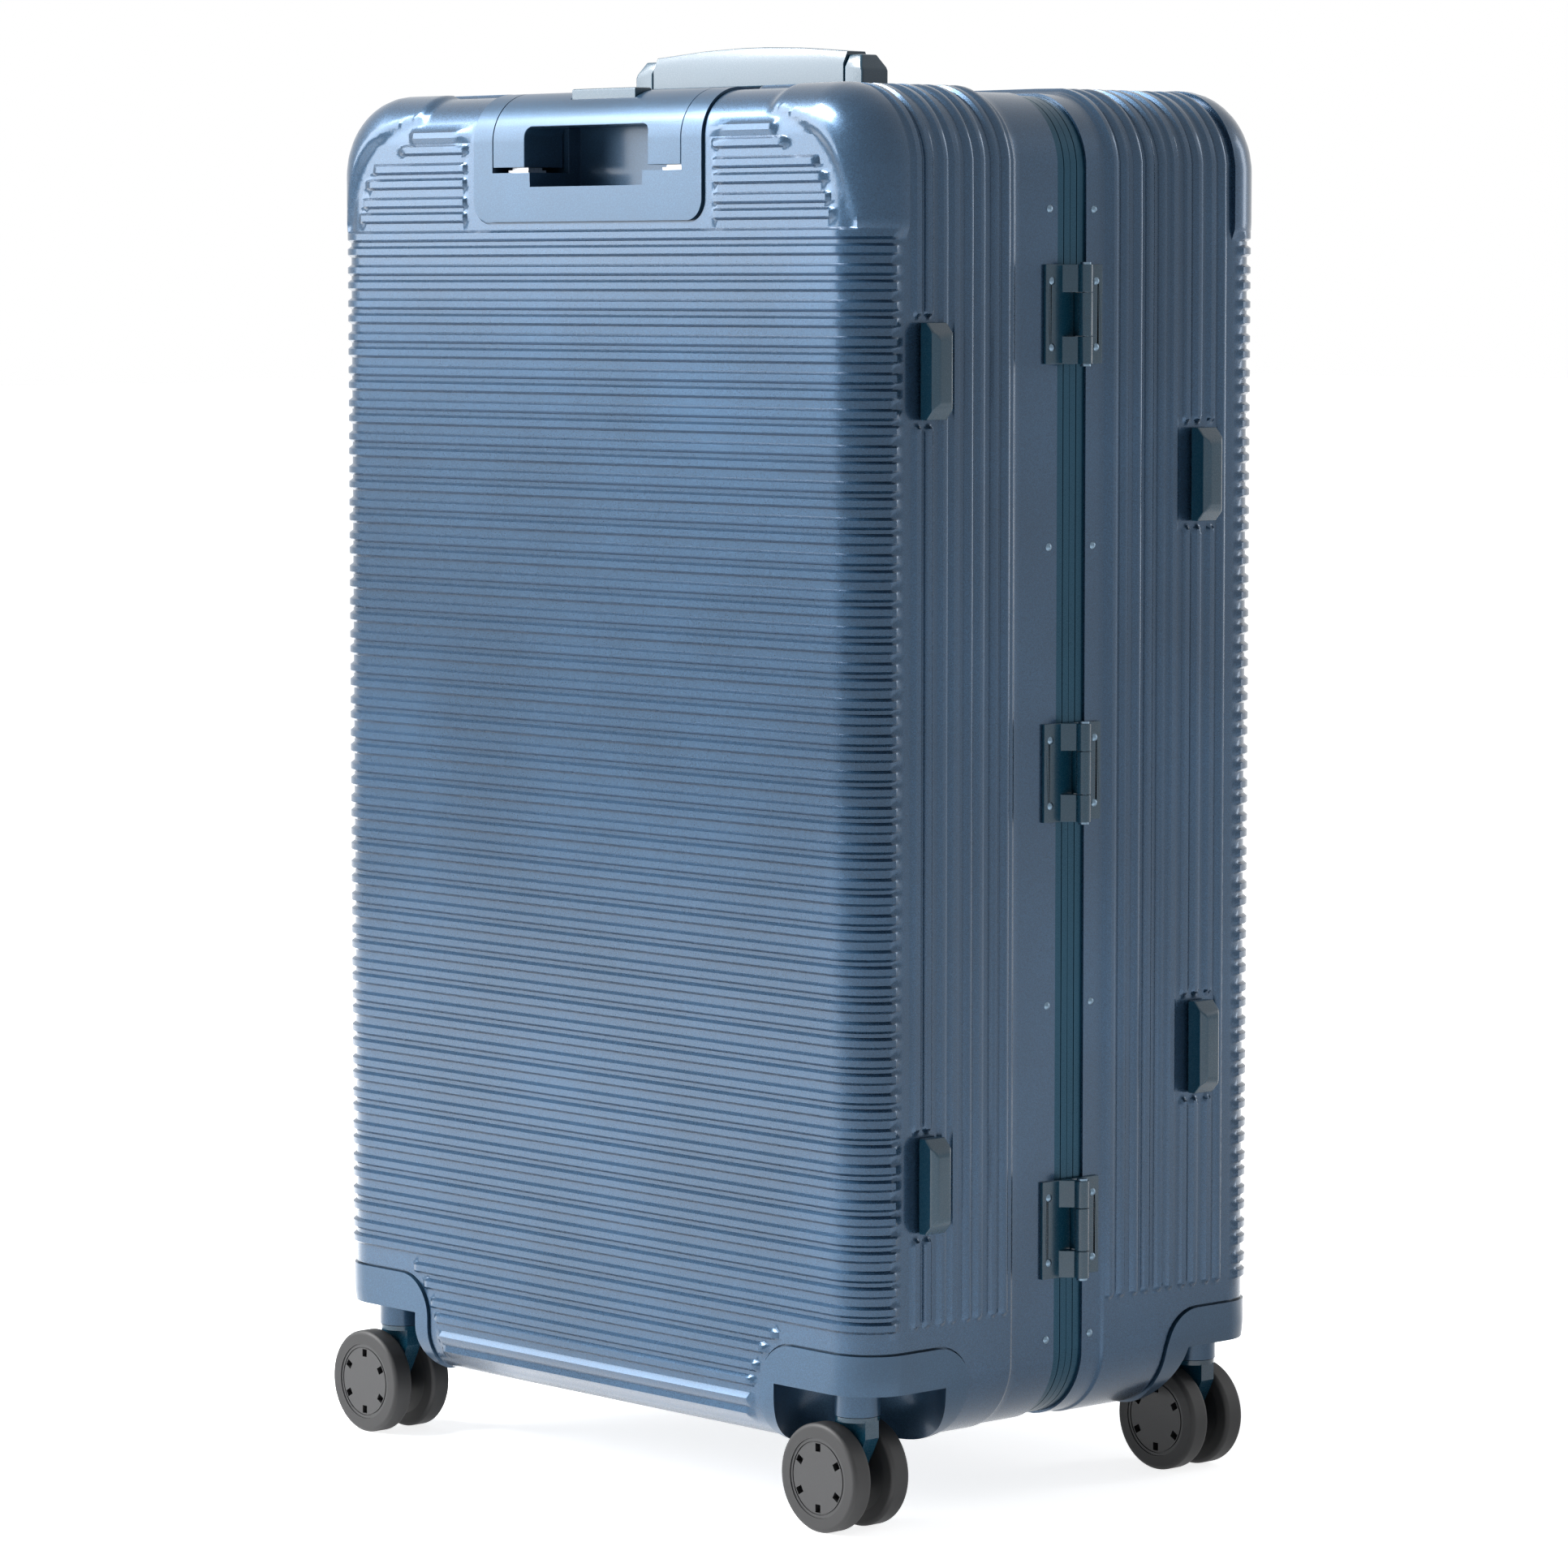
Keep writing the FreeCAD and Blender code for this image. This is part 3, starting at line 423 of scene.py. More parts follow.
# %%
def block(name, outline, axis, start, end):
    """A prism: outline is a list of two coordinates, swept along one axis."""
    ring = np.array(outline, float)
    n = len(ring)
    ends = []
    for level in (start, end):
        ends.append(np.insert(ring, axis, level, axis=1))
    i = np.arange(n)
    j = (i + 1) % n
    faces = [list(map(int, q)) for q in np.stack([i, j, j + n, i + n], 1)]
    faces += [list(range(n))[::-1], list(range(n, 2 * n))]
    mesh = bpy.data.meshes.new(name)
    mesh.from_pydata(np.vstack(ends).tolist(), [], faces)
    mesh.update()
    obj = bpy.data.objects.new(name, mesh)
    SCENE.collection.objects.link(obj)
    bpy.context.view_layer.objects.active = obj
    import bmesh
    bm = bmesh.new()
    bm.from_mesh(mesh)
    bmesh.ops.recalc_face_normals(bm, faces=bm.faces)
    bm.to_mesh(mesh)
    bm.free()
    return obj


def round_rect(x0, x1, z0, z1, r, n=9):
    t = np.linspace(0, math.pi / 2, n)
    c = [(x1 - r, z1 - r, 0), (x0 + r, z1 - r, 1), (x0 + r, z0 + r, 2), (x1 - r, z0 + r, 3)]
    out = [(cx + r * math.cos(a + k * math.pi / 2), cz + r * math.sin(a + k * math.pi / 2))
           for cx, cz, k in c for a in t]
    return out


def cut(obj, cutters, keep_smooth=35):
    """Take the cutters away from obj and keep the outcome as its mesh."""
    for c in cutters:
        m = obj.modifiers.new("cut", "BOOLEAN")
        m.operation = "DIFFERENCE"
        m.object = c
        m.solver = "EXACT"
    deps = bpy.context.evaluated_depsgraph_get()
    mesh = bpy.data.meshes.new_from_object(obj.evaluated_get(deps))
    obj.modifiers.clear()
    obj.data = mesh
    return smooth(obj, keep_smooth)


GAP = 0.0011
PLATE_X = HW - 0.086 - GAP            # inner edge of a caster plate
PLATE_Y = HD - 0.078 - GAP
PLATE_TOP = Z_LOW + 0.058 + GAP
R_PLATE = 0.0245


def plate_cutters(sign_y, wide):
    """Cutters for the two caster plates of one half: seen from the back, and from the side."""
    out = []
    for side in (-1, 1):
        xs = sorted((side * PLATE_X, side * (HW + 0.08)))
        face = round_rect(xs[0], xs[1], Z_LOW - 0.008, PLATE_TOP, R_PLATE)
        a = block("cut_a", face, 1, *sorted((sign_y * (HD + 0.02), sign_y * PLATE_Y * 0.9)))
        if not wide:
            ys = sorted((sign_y * PLATE_Y, sign_y * (HD + 0.09)))
            ring = round_rect(ys[0], ys[1], Z_LOW - 0.008, PLATE_TOP, R_PLATE)
            b = block("cut_b", ring, 0, *sorted((side * 0.1, side * (HW + 0.03))))
            m = a.modifiers.new("both", "BOOLEAN")
            m.operation = "INTERSECT"
            m.object = b
            m.solver = "EXACT"
            deps = bpy.context.evaluated_depsgraph_get()
            mesh = bpy.data.meshes.new_from_object(a.evaluated_get(deps))
            a.modifiers.clear()
            a.data = mesh
            bpy.data.objects.remove(b)
        out.append(a)
    return out


def house_cutter():
    lo, hi = np.array(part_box("trolley_grip")).reshape(2, 3)
    half = hi[0] + 0.017 + GAP
    ring = round_rect(-half, half, lo[2] - 0.0305 - GAP, Z_TOP + 0.05, 0.0126)
    return block("cut_house", ring, 1, -HD - 0.03, -HD + 0.046 + GAP)


def drop(objects):
    for o in objects:
        bpy.data.objects.remove(o)


REAR_RIBS = [-(0.0514 + 0.0193 * k + 0.0083 * m) for k in range(4) for m in (0, 1)]
LID_RIBS = [-(0.0310 + 0.0193 * k + 0.0088 * m) for k in range(5) for m in (0, 1)]


def foot_centres(node):
    """Centres of the two feet in one node: they share y and differ in height."""
    lo, hi = np.array(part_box(node)).reshape(2, 3)
    y = (lo[1] + hi[1]) / 2
    return [(y, hi[2] - 0.026), (y, lo[2] + 0.026)]


rear_panel = solid_sheet("rear_panel", panel_patches(True))
cutters = plate_cutters(-1, True) + [house_cutter()]
cut(rear_panel, cutters)
drop(cutters)
print("rear panel after cutting:", len(rear_panel.data.polygons))

# %%
rear_belt = solid_sheet("rear_belt", belt_patches(REAR_RIBS, 0.043,
                                                  foot_centres("rear_side_feet"), True))
cutters = plate_cutters(-1, False) + [house_cutter()]
cut(rear_belt, cutters)
drop(cutters)
print("rear belt after cutting:", len(rear_belt.data.polygons))

# %%
lid_panel = solid_sheet("lid_panel", mirrored(panel_patches(False)), flip=True)
cutters = plate_cutters(1, True)
cut(lid_panel, cutters)
drop(cutters)
lid_feet = [(-y, z) for y, z in foot_centres("lid_side_feet")]
lid_belt = solid_sheet("lid_belt", mirrored(belt_patches(LID_RIBS, 0.025, lid_feet, False)),
                       flip=True)
cutters = plate_cutters(1, False)
cut(lid_belt, cutters)
drop(cutters)
for piece in (rear_panel, rear_belt):
    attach(piece, "rear_half")
for piece in (lid_panel, lid_belt):
    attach(piece, "lid")
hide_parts("rear_shell")
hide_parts("lid_shell")
print("lid panel and belt:", len(lid_panel.data.polygons), len(lid_belt.data.polygons))

# %% [markdown]
# ## The cloth inside
#
# Each half is lined with foam-backed cloth, made as a tray like the shell: a field, a soft turned
# edge and a wall. The field rises in smooth plateaus over the caster housings and the handle's
# pocket. Low waves, sums of sines that bend one another, make it sit like cloth.

# %%
def waves(x, z, size):
    """Uneven height: size * (sin * sin of the bent x and z, and two finer slanted waves)."""
    a = np.sin(23 * x + 2.1 * np.sin(9 * z)) * np.sin(17 * z + 1.7 * np.sin(11 * x))
    b = np.sin(61 * x - 38 * z + 2.4 * np.sin(21 * z)) * 0.45
    c = np.sin(47 * z + 640 * x * x + 1.3 * np.sin(33 * x)) * 0.35
    return size * (a + b + c)


def rounded_edge(rows, half_x, half_z, radius):
    """Half width at each height of a rounded rectangle, and the way out there."""
    d = np.clip((np.abs(rows) - (half_z - radius)) / radius, 0, 1)
    c = np.sqrt(1 - d * d)
    return half_x - radius + radius * c, np.stack([c, np.sign(rows) * d], -1)


def gap_to_edge(x, z, half_x, half_z, radius):
    """Distance from a point to the edge of the rounded rectangle that holds it."""
    q = np.maximum(np.abs(x) - half_x + radius, 0)
    w = np.maximum(np.abs(z) - half_z + radius, 0)
    corner = radius - np.hypot(q, w)
    flat = np.minimum(half_x - np.abs(x), half_z - np.abs(z))
    return np.where((q > 0) & (w > 0), corner, flat)


def cloth_rows(half_z, radius, pitch, extra=()):
    """Row heights: even steps of pitch, the rounded corners' own rows, and any extra ones."""
    bend = half_z - radius + radius * np.sin(np.linspace(0, math.pi / 2, 9))
    rows = np.concatenate([np.arange(-half_z + 0.002, half_z - 0.002, pitch), bend, -bend, extra])
    rows = np.unique(rows[np.abs(rows) < half_z - 1e-4])
    rows = rows[np.concatenate([[True], np.diff(rows) > 0.0006])]
    return np.concatenate([[-half_z], rows, [half_z]])


def lining(name, back, with_pocket, flip):
    """Cloth tray: y = -back + plateaus on the field, radius * (1 - cos turn) round the edge,
    then a straight share of the way up to the rim; waves pull it in along its normal."""
    inset, bend_r, rim_y = 0.0226, 0.016, -0.0095
    half_x, half_z, radius = HW - inset - bend_r, HH - inset - bend_r, 0.014
    rows = cloth_rows(half_z, radius, 0.0046)
    edge, normal = rounded_edge(rows, half_x, half_z, radius)
    arc = np.concatenate([np.linspace(0, math.pi / 2, 8)[1:], np.full(16, math.pi / 2)])
    share = np.concatenate([np.zeros(7), np.linspace(0, 1, 17)[1:]])
    patches = []
    for x, z, nx, nz, t, up in tray_sets(rows, np.linspace(0, 1, 40), edge, normal, arc, share):
        low = step((np.abs(x) - 0.1225) / 0.014) * step((Z_LOW + 0.076 - z - Z_MID) / 0.014)
        depth = -back + low * (back - 0.0645)
        if with_pocket:
            top = step((0.1215 - np.abs(x)) / 0.012) * step((z + Z_MID - Z_TOP + 0.097) / 0.012)
            depth = depth + top * (back - 0.0955) * (1 - low)
        wall = bend_r * np.sin(t)
        field = (t == 0)
        y = depth + bend_r * (1 - np.cos(t)) + up * (rim_y - depth - bend_r)
        give = 0.0008 + waves(x + z * 0.7 * ~field, z + 0.3 * y, 0.0006)
        give = give * np.where(up > 0, np.sin(math.pi * up), 1)
        px = x + nx * (wall - give * np.sin(t))
        pz = z + nz * (wall - give * np.sin(t))
        front = np.stack([px, y + (give + 0.0004) * np.cos(t), pz + Z_MID], -1)
        turn_out = np.stack([nx * np.sin(t), -np.cos(t), nz * np.sin(t)], -1)
        patches.append((front, front + turn_out * 0.0012))
    if flip:
        patches = mirrored(patches)
    return solid_sheet(name, patches, flip=not flip, degrees=60)


rear_lining = lining("rear_lining_cloth", 0.1288, True, False)
lid_lining = lining("lid_lining_cloth", 0.1468, False, True)
for piece, body, node in ((rear_lining, "rear_half", "rear_lining"),
                          (lid_lining, "lid", "lid_lining")):
    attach(piece, body)
    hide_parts(node)

# %% [markdown]
# ### Divider with its zip
#
# The divider is a thin padded panel. A sewn border runs round it and three sewn channels cross
# it; the cloth is low at the stitches and puffed between. The zip is a tape, two rows of teeth
# and a slider.

# %%
DIV_X, DIV_Z, DIV_R = HW - 0.0226, HH - 0.0226, 0.0226


def divider_cloth():
    """y = 0.0132 - 0.0026 * puff; puff is an S from the edge, less a Gaussian at each seam."""
    rows = cloth_rows(DIV_Z, DIV_R, 0.0042, [c + d for c in (-0.19, 0.0, 0.19)
                                             for d in (-0.004, -0.002, 0.002, 0.004)])
    edge, normal = rounded_edge(rows, DIV_X, DIV_Z, DIV_R)
    fine = 1 - np.concatenate([np.linspace(0, 0.31, 34), np.linspace(0.34, 1, 22)])[::-1]
    patches = []
    for x, z, nx, nz, t, up in tray_sets(rows, fine, edge, normal, np.array([0.0]),
                                         np.array([0.0]))[:1]:
        gap = gap_to_edge(x, z, DIV_X, DIV_Z, DIV_R)
        seam = np.exp(-((gap - 0.040) / 0.0016) ** 2)
        channel = np.max([np.exp(-((z - c) / 0.0022) ** 2) for c in (-0.19, 0.0, 0.19)], axis=0)
        channel = channel * (gap > 0.040)
        puff = step(gap / 0.006) * (1 - 0.9 * seam) * (1 - 0.9 * channel)
        y = 0.0132 - 0.0026 * puff + waves(x, z + 0.3, 0.00035) * puff
        front = np.stack([x, y, z + Z_MID], -1)
        behind = np.stack([x, np.full_like(y, 0.0146), z + Z_MID], -1)
        patches.append((front, behind))
    return solid_sheet("divider_cloth", patches, degrees=60)


divider = divider_cloth()
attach(divider, "lid")
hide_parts("divider_panel")

# %%
def ring(inset, count):
    """Evenly spaced points round the outline, set in, as (x, z from the middle)."""
    dense, _ = outline_points(spans([], []), inset)
    leg = np.hypot(*np.diff(dense, axis=0).T)
    at = np.concatenate([[0], np.cumsum(leg)])
    s = np.linspace(0, at[-1], count + 1)
    return np.stack([np.interp(s, at, dense[:, k]) for k in (0, 1)], 1)


def bars_round(name, inset, count, long, wide, y_front, y_back):
    """Small blocks spaced round the outline, such as a zip's teeth, as one mesh."""
    path = ring(inset, count)[:-1]
    ahead = np.roll(path, -1, 0) - np.roll(path, 1, 0)
    ahead /= np.linalg.norm(ahead, axis=1)[:, None]
    side = np.stack([-ahead[:, 1], ahead[:, 0]], 1)
    corners = []
    for y in (y_front, y_back):
        for u, v in ((-1, -1), (1, -1), (1, 1), (-1, 1)):
            p = path + ahead * (u * long / 2) + side * (v * wide / 2)
            corners.append(np.stack([p[:, 0], np.full(len(p), y), p[:, 1] + Z_MID], 1))
    points = np.stack(corners, 1).reshape(-1, 3)
    one = np.array([[0, 1, 2, 3], [7, 6, 5, 4], [0, 4, 5, 1], [1, 5, 6, 2], [2, 6, 7, 3],
                    [3, 7, 4, 0]])
    faces = (one[None] + 8 * np.arange(len(path))[:, None, None]).reshape(-1, 4)
    return new_mesh(name, points, faces)


def flat_ring(name, inset, wide, y_front, y_back):
    """A closed band of even width round the outline."""
    a, b = ring(inset, 320), ring(inset + wide, 320)
    loop = [(a, y_front), (b, y_front), (b, y_back), (a, y_back), (a, y_front)]
    grid = np.stack([np.stack([p[:, 0], np.full(len(p), y), p[:, 1] + Z_MID], 1)
                     for p, y in loop], 1)
    front, _, face = weld([(grid, grid)])
    return smooth(new_mesh(name, front, face[:, ::-1]))


# %%
zip_tape = flat_ring("zip_tape", 0.0300, 0.0260, 0.0092, 0.0100)
teeth_a = bars_round("zip_teeth_a", 0.0421, 820, 0.0013, 0.0022, 0.0080, 0.0093)
teeth_b = bars_round("zip_teeth_b", 0.0439, 820, 0.0013, 0.0022, 0.0080, 0.0093)

# %%
def slider(name, x, z):
    """Zip slider: a body with a waist and a hanging pull, swept as two thin slabs."""
    t = np.linspace(0, 2 * math.pi, 33)[:-1]
    body = np.stack([0.0048 * np.cos(t) * (1 - 0.25 * np.sin(t)), 0.0070 * np.sin(t)], 1)
    pull = np.stack([0.0042 * np.sign(np.cos(t)) * np.abs(np.cos(t)) ** 0.5,
                     -0.022 + 0.0165 * np.sign(np.sin(t)) * np.abs(np.sin(t)) ** 0.7], 1)
    points, faces, start = [], [], 0
    for outline_2d, y0, y1 in ((body, 0.0060, 0.0091), (pull, 0.0050, 0.0062)):
        n = len(outline_2d)
        for y in (y0, y1):
            points.append(np.stack([x + outline_2d[:, 0], np.full(n, y),
                                    z + outline_2d[:, 1]], 1))
        i = np.arange(n)
        j = (i + 1) % n
        faces += [list(q) for q in (np.stack([i, i + n, j + n, j], 1) + start)]
        faces += [list(i + start), list(i[::-1] + n + start)]
        start += 2 * n
    mesh = bpy.data.meshes.new(name)
    mesh.from_pydata(np.vstack(points).tolist(), [], [list(map(int, f)) for f in faces])
    mesh.update()
    obj = bpy.data.objects.new(name, mesh)
    SCENE.collection.objects.link(obj)
    return smooth(obj)


zip_pull = slider("zip_slider", -HW + 0.0430, Z_MID + 0.05)
for piece in (zip_tape, teeth_a, teeth_b, zip_pull):
    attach(piece, "lid")

# %% [markdown]
# ### Packing bands
#
# Two flat bands cross in the rear half. Each is a ribbon from wall to wall that sags a little;
# the imported model's round buckle holds them in the middle.

# %%
def band(name, turn, lift):
    """Ribbon along a slanted line; y sags by a parabola and dips under the buckle."""
    angle = math.radians(57.0)
    reach = (HW - 0.0212) / math.cos(angle)
    t = np.linspace(-1, 1, 121)
    across = np.linspace(-1, 1, 9)
    tt, aa = np.meshgrid(t, across, indexing="ij")
    cx, cz = math.cos(angle), turn * math.sin(angle)
    half = 0.0125
    x = tt * reach * cx - aa * half * cz
    z = Z_MID + tt * reach * cz + aa * half * cx
    x = np.clip(x, -(HW - 0.0216), HW - 0.0216)
    y = -0.0180 - 0.0030 * (1 - tt ** 2) + lift + 0.0003 * np.sin(40 * tt) * aa
    front = np.stack([x, y, z], -1)
    back = front + [0, 0.0013, 0]
    obj = solid_sheet(name, [(front, back)], flip=True)
    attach(obj, "rear_half")
    return obj


band_a = band("packing_band_a", 1, 0.0)
band_b = band("packing_band_b", -1, 0.0018)
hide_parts("packing_straps")

# %% [markdown]
# ## Materials
#
# `Val` wraps a shader socket, so that shader maths reads like ordinary Python: `a * 2 + b`.

# %%
class Val:
    """A value in a shader tree."""

    def __init__(self, tree, socket):
        self.tree, self.socket = tree, socket

    def math(self, op, *others, clamp=False):
        node = self.tree.nodes.new("ShaderNodeMath")
        node.operation = op
        node.use_clamp = clamp
        for slot_in, value in zip(node.inputs, (self,) + others):
            if isinstance(value, Val):
                self.tree.links.new(value.socket, slot_in)
            else:
                slot_in.default_value = value
        return Val(self.tree, node.outputs[0])

    def __add__(self, o): return self.math("ADD", o)
    def __sub__(self, o): return self.math("SUBTRACT", o)
    def __mul__(self, o): return self.math("MULTIPLY", o)
    def __truediv__(self, o): return self.math("DIVIDE", o)
    def power(self, o): return self.math("POWER", o)
    def clip(self): return self.math("ADD", 0.0, clamp=True)


class Look:
    """A material with one Principled shader; node() adds any other node."""

    def __init__(self, name, **constants):
        self.material = bpy.data.materials.new(name)
        self.material.use_nodes = True
        self.tree = self.material.node_tree
        self.shader = self.tree.nodes["Principled BSDF"]
        for key, value in constants.items():
            self.shader.inputs[key.replace("_", " ")].default_value = value

    def node(self, kind, output=0, links=(), **settings):
        node = self.tree.nodes.new(kind)
        for key, value in settings.items():
            if key in node.inputs:
                node.inputs[key].default_value = value
            else:
                setattr(node, key, value)
        for key, value in dict(links).items():
            self.tree.links.new(value.socket, node.inputs[key])
        return Val(self.tree, node.outputs[output])

    def place(self, scale=(1, 1, 1)):
        """Object coordinates, stretched."""
        where = self.node("ShaderNodeTexCoord", "Object")
        return self.node("ShaderNodeMapping", "Vector", {"Vector": where}, Scale=scale)

    def noise(self, scale, detail=2.0, stretch=(1, 1, 1), rough=0.5):
        return self.node("ShaderNodeTexNoise", 0, {"Vector": self.place(stretch)},
                         Scale=scale, Detail=detail, Roughness=rough)

    def cells(self, scale, output=0):
        return self.node("ShaderNodeTexVoronoi", output, {"Vector": self.place()}, Scale=scale)

    def colours(self, factor, stops):
        node = self.tree.nodes.new("ShaderNodeValToRGB")
        ramp = node.color_ramp
        while len(ramp.elements) < len(stops):
            ramp.elements.new(0.5)
        for element, (at, colour) in zip(ramp.elements, stops):
            element.position = at
            element.color = (*colour, 1)
        self.tree.links.new(factor.socket, node.inputs[0])
        return Val(self.tree, node.outputs[0])

    def to(self, key, value):
        self.tree.links.new(value.socket, self.shader.inputs[key])
        return self

    def bump(self, height, strength, distance):
        made = self.node("ShaderNodeBump", 0, {"Height": height}, Strength=strength,
                         Distance=distance)
        return self.to("Normal", made)


def tint(colour, k):
    return tuple(min(1.0, c * k) for c in colour)


def speckled(name, colour, metallic, rough, coat, grain=2600.0, spread=0.25):
    """Paint with fine flakes: small cells change tone and roughness, broad noise adds wear."""
    look = Look(name, Metallic=metallic, Coat_Weight=coat, Coat_Roughness=0.14,
                Specular_IOR_Level=0.35)
    flake = look.cells(grain, "Color")
    flake = look.node("ShaderNodeSeparateColor", 0, {"Color": flake})
    broad = look.noise(9.0, 3.0)
    tone = (flake * spread + broad * 0.35).clip()
    look.to("Base Color", look.colours(tone, [(0.0, tint(colour, 0.72)), (0.3, colour),
                                              (0.62, tint(colour, 1.9))]))
    look.to("Roughness", (flake * 0.08 + broad * 0.06 + (rough - 0.07)).clip())
    look.bump(flake, 0.05, 0.00005)
    return look.material


BLUE = (0.018, 0.050, 0.096)
TEAL = (0.006, 0.048, 0.085)
shell_paint = speckled("shell_paint", BLUE, 0.60, 0.30, 0.45)
plate_paint = speckled("plate_paint", (0.020, 0.053, 0.098), 0.50, 0.36, 0.30)
frame_metal = speckled("frame_metal", TEAL, 0.55, 0.30, 0.0, 5200.0, 0.1)
trim_paint = speckled("trim_paint", TEAL, 0.05, 0.25, 0.35, 4200.0, 0.08)


def plain(name, colour, rough, metallic=0.0, fine=900.0, stretch=(1, 1, 1), depth=0.00003):
    """Moulded plastic, rubber or bare metal: fine noise in tone, roughness and bump."""
    look = Look(name, Metallic=metallic)
    fine_noise = look.noise(fine, 3.0, stretch)
    look.to("Base Color", look.colours(fine_noise, [(0.25, tint(colour, 0.82)),
                                                    (0.75, tint(colour, 1.2))]))
    look.to("Roughness", (fine_noise * 0.12 + (rough - 0.06)).clip())
    look.bump(fine_noise, 0.25, depth)
    return look.material


rubber = plain("tyre_rubber", (0.0105, 0.0108, 0.0118), 0.60)
hub_plastic = plain("hub_plastic", (0.017, 0.0175, 0.019), 0.42)
black_plastic = plain("black_plastic", (0.016, 0.017, 0.019), 0.4)
steel = plain("steel", (0.52, 0.56, 0.60), 0.28, 1.0, 1500.0)
rivet_metal = plain("rivet_metal", (0.13, 0.19, 0.25), 0.30, 1.0, 1500.0)
tube_metal = plain("tube_metal", (0.55, 0.57, 0.60), 0.30, 1.0, 260.0, (6, 6, 0.15))
gasket_rubber = plain("gasket_rubber", (0.018, 0.019, 0.020), 0.6)

# %%
def woven(name, colour, thread, sheen=0.4, rough=0.85, quilt=False):
    """Cloth: two crossing wave sets give the weave its threads in tone, roughness and bump."""
    look = Look(name, Sheen_Weight=sheen, Sheen_Roughness=0.5)
    where = look.node("ShaderNodeSeparateXYZ", 0, {"Vector": look.place()})
    up = Val(look.tree, where.socket.node.outputs["Z"])
    deep = Val(look.tree, where.socket.node.outputs["Y"])
    across = (where + deep) * (2 * math.pi / thread)
    along = (up + deep) * (2 * math.pi / thread)
    weave = across.math("SINE") * along.math("COSINE") * 0.5 + 0.5
    broad = look.noise(14.0, 3.0)
    fuzz = look.noise(1800.0, 2.0)
    tone = (weave * 0.35 + broad * 0.35 + fuzz * 0.3).clip()
    look.to("Base Color", look.colours(tone, [(0.2, tint(colour, 0.62)), (0.8, tint(colour, 1.3))]))
    look.to("Roughness", (weave * 0.1 + (rough - 0.05)).clip())
    if quilt:
        diamonds = ((where + up) * (2 * math.pi / 0.070)).math("SINE").math("ABSOLUTE")
        other = ((where - up) * (2 * math.pi / 0.070)).math("SINE").math("ABSOLUTE")
        stitch = (diamonds.math("MINIMUM", other) * 6.0).clip()
        return look.bump(weave * 0.12 + stitch, 0.7, 0.0012).material
    return look.bump(weave, 0.5, 0.0002).material


lining_cloth = woven("lining_cloth", (0.115, 0.125, 0.145), 0.0011, quilt=True)
divider_weave = woven("divider_weave", (0.125, 0.135, 0.155), 0.0011)
band_weave = woven("band_weave", (0.045, 0.055, 0.072), 0.0016, sheen=0.2, rough=0.6)


def dress(objects, material):
    for o in objects:
        o.data.materials.clear()
        o.data.materials.append(material)


def cad(*names):
    return [bpy.data.objects[n] for n in names]


dress([rear_panel, rear_belt, lid_panel, lid_belt], shell_paint)
dress(cad("rear_wheel_housings", "lid_wheel_housings", "trolley_housing", "trolley_grip"),
      plate_paint)
dress(cad("rear_frame", "lid_frame"), frame_metal)
dress(cad("rear_side_feet", "lid_side_feet", "rear_hinge_leaves", "lid_hinge_leaves",
          "top_handle", "top_handle_mounts", "side_handle", "side_handle_mounts",
          "latch_bases", "latch_lever_upper", "latch_lever_lower", "latch_strikes",
          "release_button"), trim_paint)
dress(cad("rear_rivets", "lid_rivets", "hinge_pins"), rivet_metal)
dress(cad("trolley_outer_tubes", "trolley_middle_tubes", "trolley_inner_tubes"), tube_metal)
dress(cad("frame_gasket"), gasket_rubber)
dress(cad("trolley_foot_bracket", "strap_buckle"), black_plastic)
for name, obj in [(o.name, o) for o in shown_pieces()]:
    if name.startswith("tyre_"):
        dress([obj], rubber)
    if name.startswith("hub_"):
        dress([obj], hub_plastic)
    if name.startswith("caster_fork"):
        dress([obj], trim_paint)
    if name.startswith("caster_axle"):
        dress([obj], steel)

# %%
def soften(width, *names):
    """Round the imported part's hard edges a little: merge, bevel, then even out the normals."""
    for o in cad(*names):
        merge = o.modifiers.new("merge", "WELD")
        merge.merge_threshold = 0.00001
        bevel = o.modifiers.new("edges", "BEVEL")
        bevel.width, bevel.segments = width, 3
        bevel.limit_method, bevel.angle_limit = "ANGLE", math.radians(32)
        bevel.use_clamp_overlap = True
        o.modifiers.new("normals", "WEIGHTED_NORMAL").keep_sharp = False


soften(0.0022, "rear_side_feet", "lid_side_feet", "top_handle")
soften(0.0012, "side_handle", "top_handle_mounts", "side_handle_mounts",
       "trolley_grip", "latch_lever_upper", "latch_lever_lower")
soften(0.0007, "latch_bases", "latch_strikes", "rear_wheel_housings", "lid_wheel_housings",
       "trolley_housing")
soften(0.0004, "rear_hinge_leaves", "lid_hinge_leaves", "release_button")
dress([rear_lining, lid_lining], lining_cloth)
dress([divider], divider_weave)
dress([band_a, band_b, zip_tape], band_weave)
dress([teeth_a, teeth_b], black_plastic)
dress([zip_pull], steel)

# %% [markdown]
# ## Floor, light and camera

# %%
def lamp(name, place, target, size, power, colour=(1, 1, 1)):
    data = bpy.data.lights.new(name, "AREA")
    data.shape = "RECTANGLE"
    data.size, data.size_y = size
    data.energy = power
    data.color = colour
    obj = bpy.data.objects.new(name, data)
    SCENE.collection.objects.link(obj)
    back = np.array(place, float) - np.array(target, float)
    back /= np.linalg.norm(back)
    z = Vector(back)
    x = Vector((0, 0, 1)).cross(z)
    x = x.normalized() if x.length > 1e-6 else Vector((1, 0, 0))
    y = z.cross(x)
    obj.matrix_world = Matrix(((x.x, y.x, z.x, place[0]), (x.y, y.y, z.y, place[1]),
                               (x.z, y.z, z.z, place[2]), (0, 0, 0, 1)))
    return obj


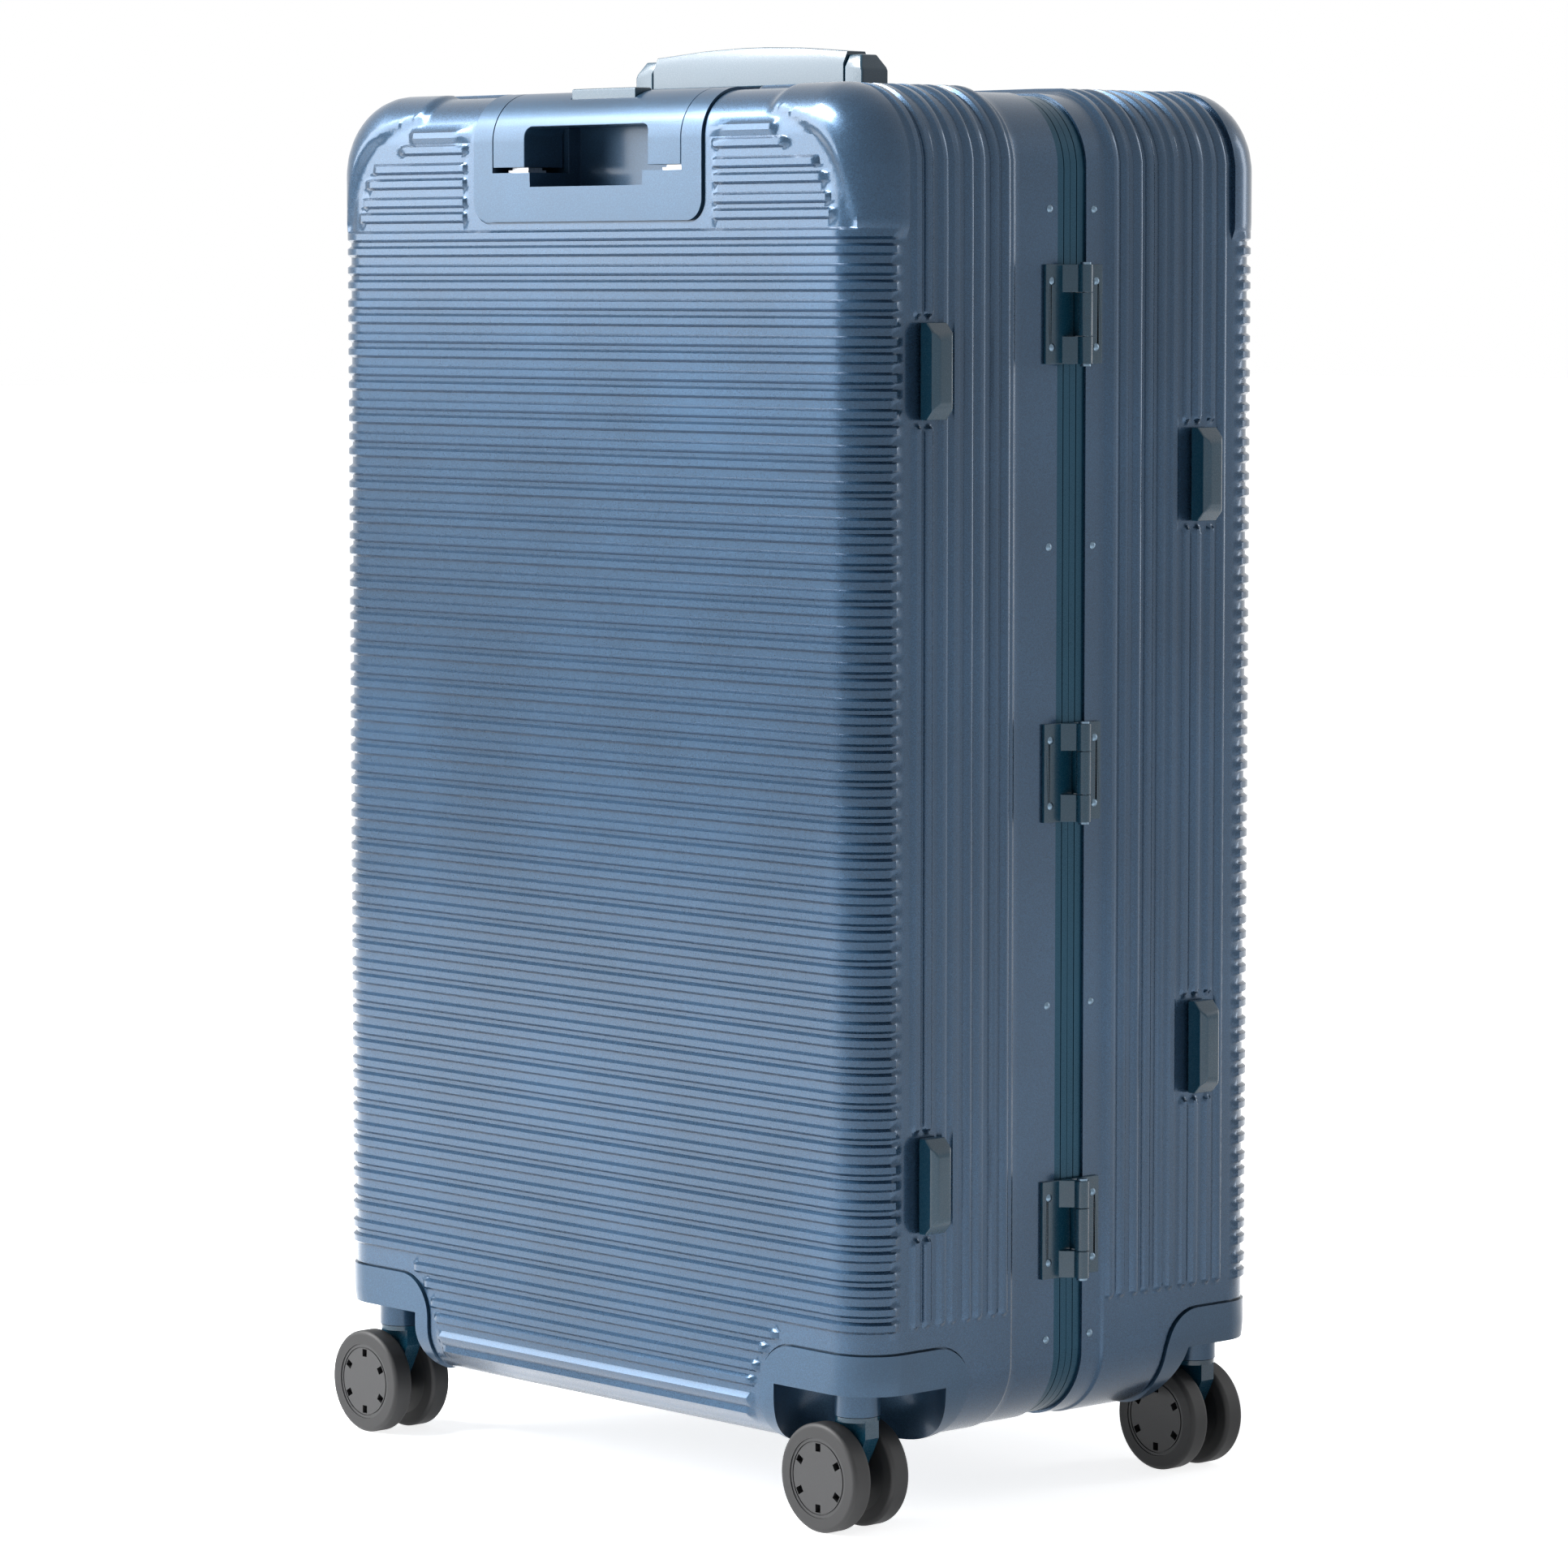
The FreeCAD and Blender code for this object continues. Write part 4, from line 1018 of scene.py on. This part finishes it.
lamp("key_high", (-1.45, -1.75, 2.6), (0, -0.1, 0.45), (1.5, 0.9), 190)
lamp("tall_left", (-2.15, -2.05, 1.75), (0, -0.1, 0.60), (1.7, 2.3), 105)
lamp("rim_right", (1.2, 3.2, 1.3), (0.2, 0.1, 0.45), (0.7, 2.2), 22)


def ray_white(tree, shadowed, white):
    """Mix that gives the white one to what a camera, mirror or glass sees."""
    path = tree.nodes.new("ShaderNodeLightPath")
    value = Val(tree, path.outputs["Is Camera Ray"])
    for seen in ("Is Glossy Ray", "Is Transmission Ray"):
        value = value.math("MAXIMUM", Val(tree, path.outputs[seen]))
    mix = tree.nodes.new("ShaderNodeMixShader")
    tree.links.new(value.socket, mix.inputs[0])
    tree.links.new(shadowed, mix.inputs[1])
    tree.links.new(white, mix.inputs[2])
    return mix.outputs[0]


floor = new_mesh("floor", np.array([[-30, -30, 0], [30, -30, 0], [30, 30, 0], [-30, 30, 0.0]]),
                 np.array([[0, 1, 2, 3]]))
look = Look("floor_paint", Base_Color=(0.86, 0.86, 0.86, 1), Roughness=0.85)
glow = look.tree.nodes.new("ShaderNodeEmission")
glow.inputs["Strength"].default_value = 0.80
both = look.tree.nodes.new("ShaderNodeAddShader")
look.tree.links.new(look.shader.outputs[0], both.inputs[0])
look.tree.links.new(glow.outputs[0], both.inputs[1])
out = look.tree.nodes["Material Output"]
look.tree.links.new(ray_white(look.tree, look.shader.outputs[0], both.outputs[0]),
                    out.inputs[0])
floor.data.materials.append(look.material)

world = bpy.data.worlds.new("studio")
SCENE.world = world
world.use_nodes = True
tree = world.node_tree
background = tree.nodes["Background"]
background.inputs["Color"].default_value = (0.95, 0.97, 1.0, 1)
background.inputs["Strength"].default_value = 0.30
white = tree.nodes.new("ShaderNodeBackground")
white.inputs["Color"].default_value = (1, 1, 1, 1)
tree.links.new(ray_white(tree, background.outputs[0], white.outputs[0]),
               tree.nodes["World Output"].inputs[0])

# %% [markdown]
# ### Camera
#
# The camera stands on a circle round the case: the azimuth turns it from the rear face towards the
# hinge side, the elevation lifts it, and it looks at a point near the middle.

# %%
LENS, SENSOR = 139.4, 36.0            # mm
AZIMUTH, ELEVATION = 47.66, 4.73      # degrees
DISTANCE = 3.497
AIM_UP, AIM_RIGHT = 0.3873, -0.004

cam_data = bpy.data.cameras.new("camera")
cam_data.lens = LENS
cam_data.sensor_width = SENSOR
cam_data.clip_end = 100
cam = bpy.data.objects.new("camera", cam_data)
SCENE.collection.objects.link(cam)
a, e = math.radians(AZIMUTH), math.radians(ELEVATION)
back = np.array([math.sin(a) * math.cos(e), -math.cos(a) * math.cos(e), math.sin(e)])
right = np.array([math.cos(a), math.sin(a), 0.0])
place = right * AIM_RIGHT + np.array([0, 0, AIM_UP]) + back * DISTANCE
up = np.cross(back, right)
cam.matrix_world = Matrix([[right[0], up[0], back[0], place[0]],
                           [right[1], up[1], back[1], place[1]],
                           [right[2], up[2], back[2], place[2]], [0, 0, 0, 1]])
SCENE.camera = cam
SCENE.view_settings.view_transform = "Standard"
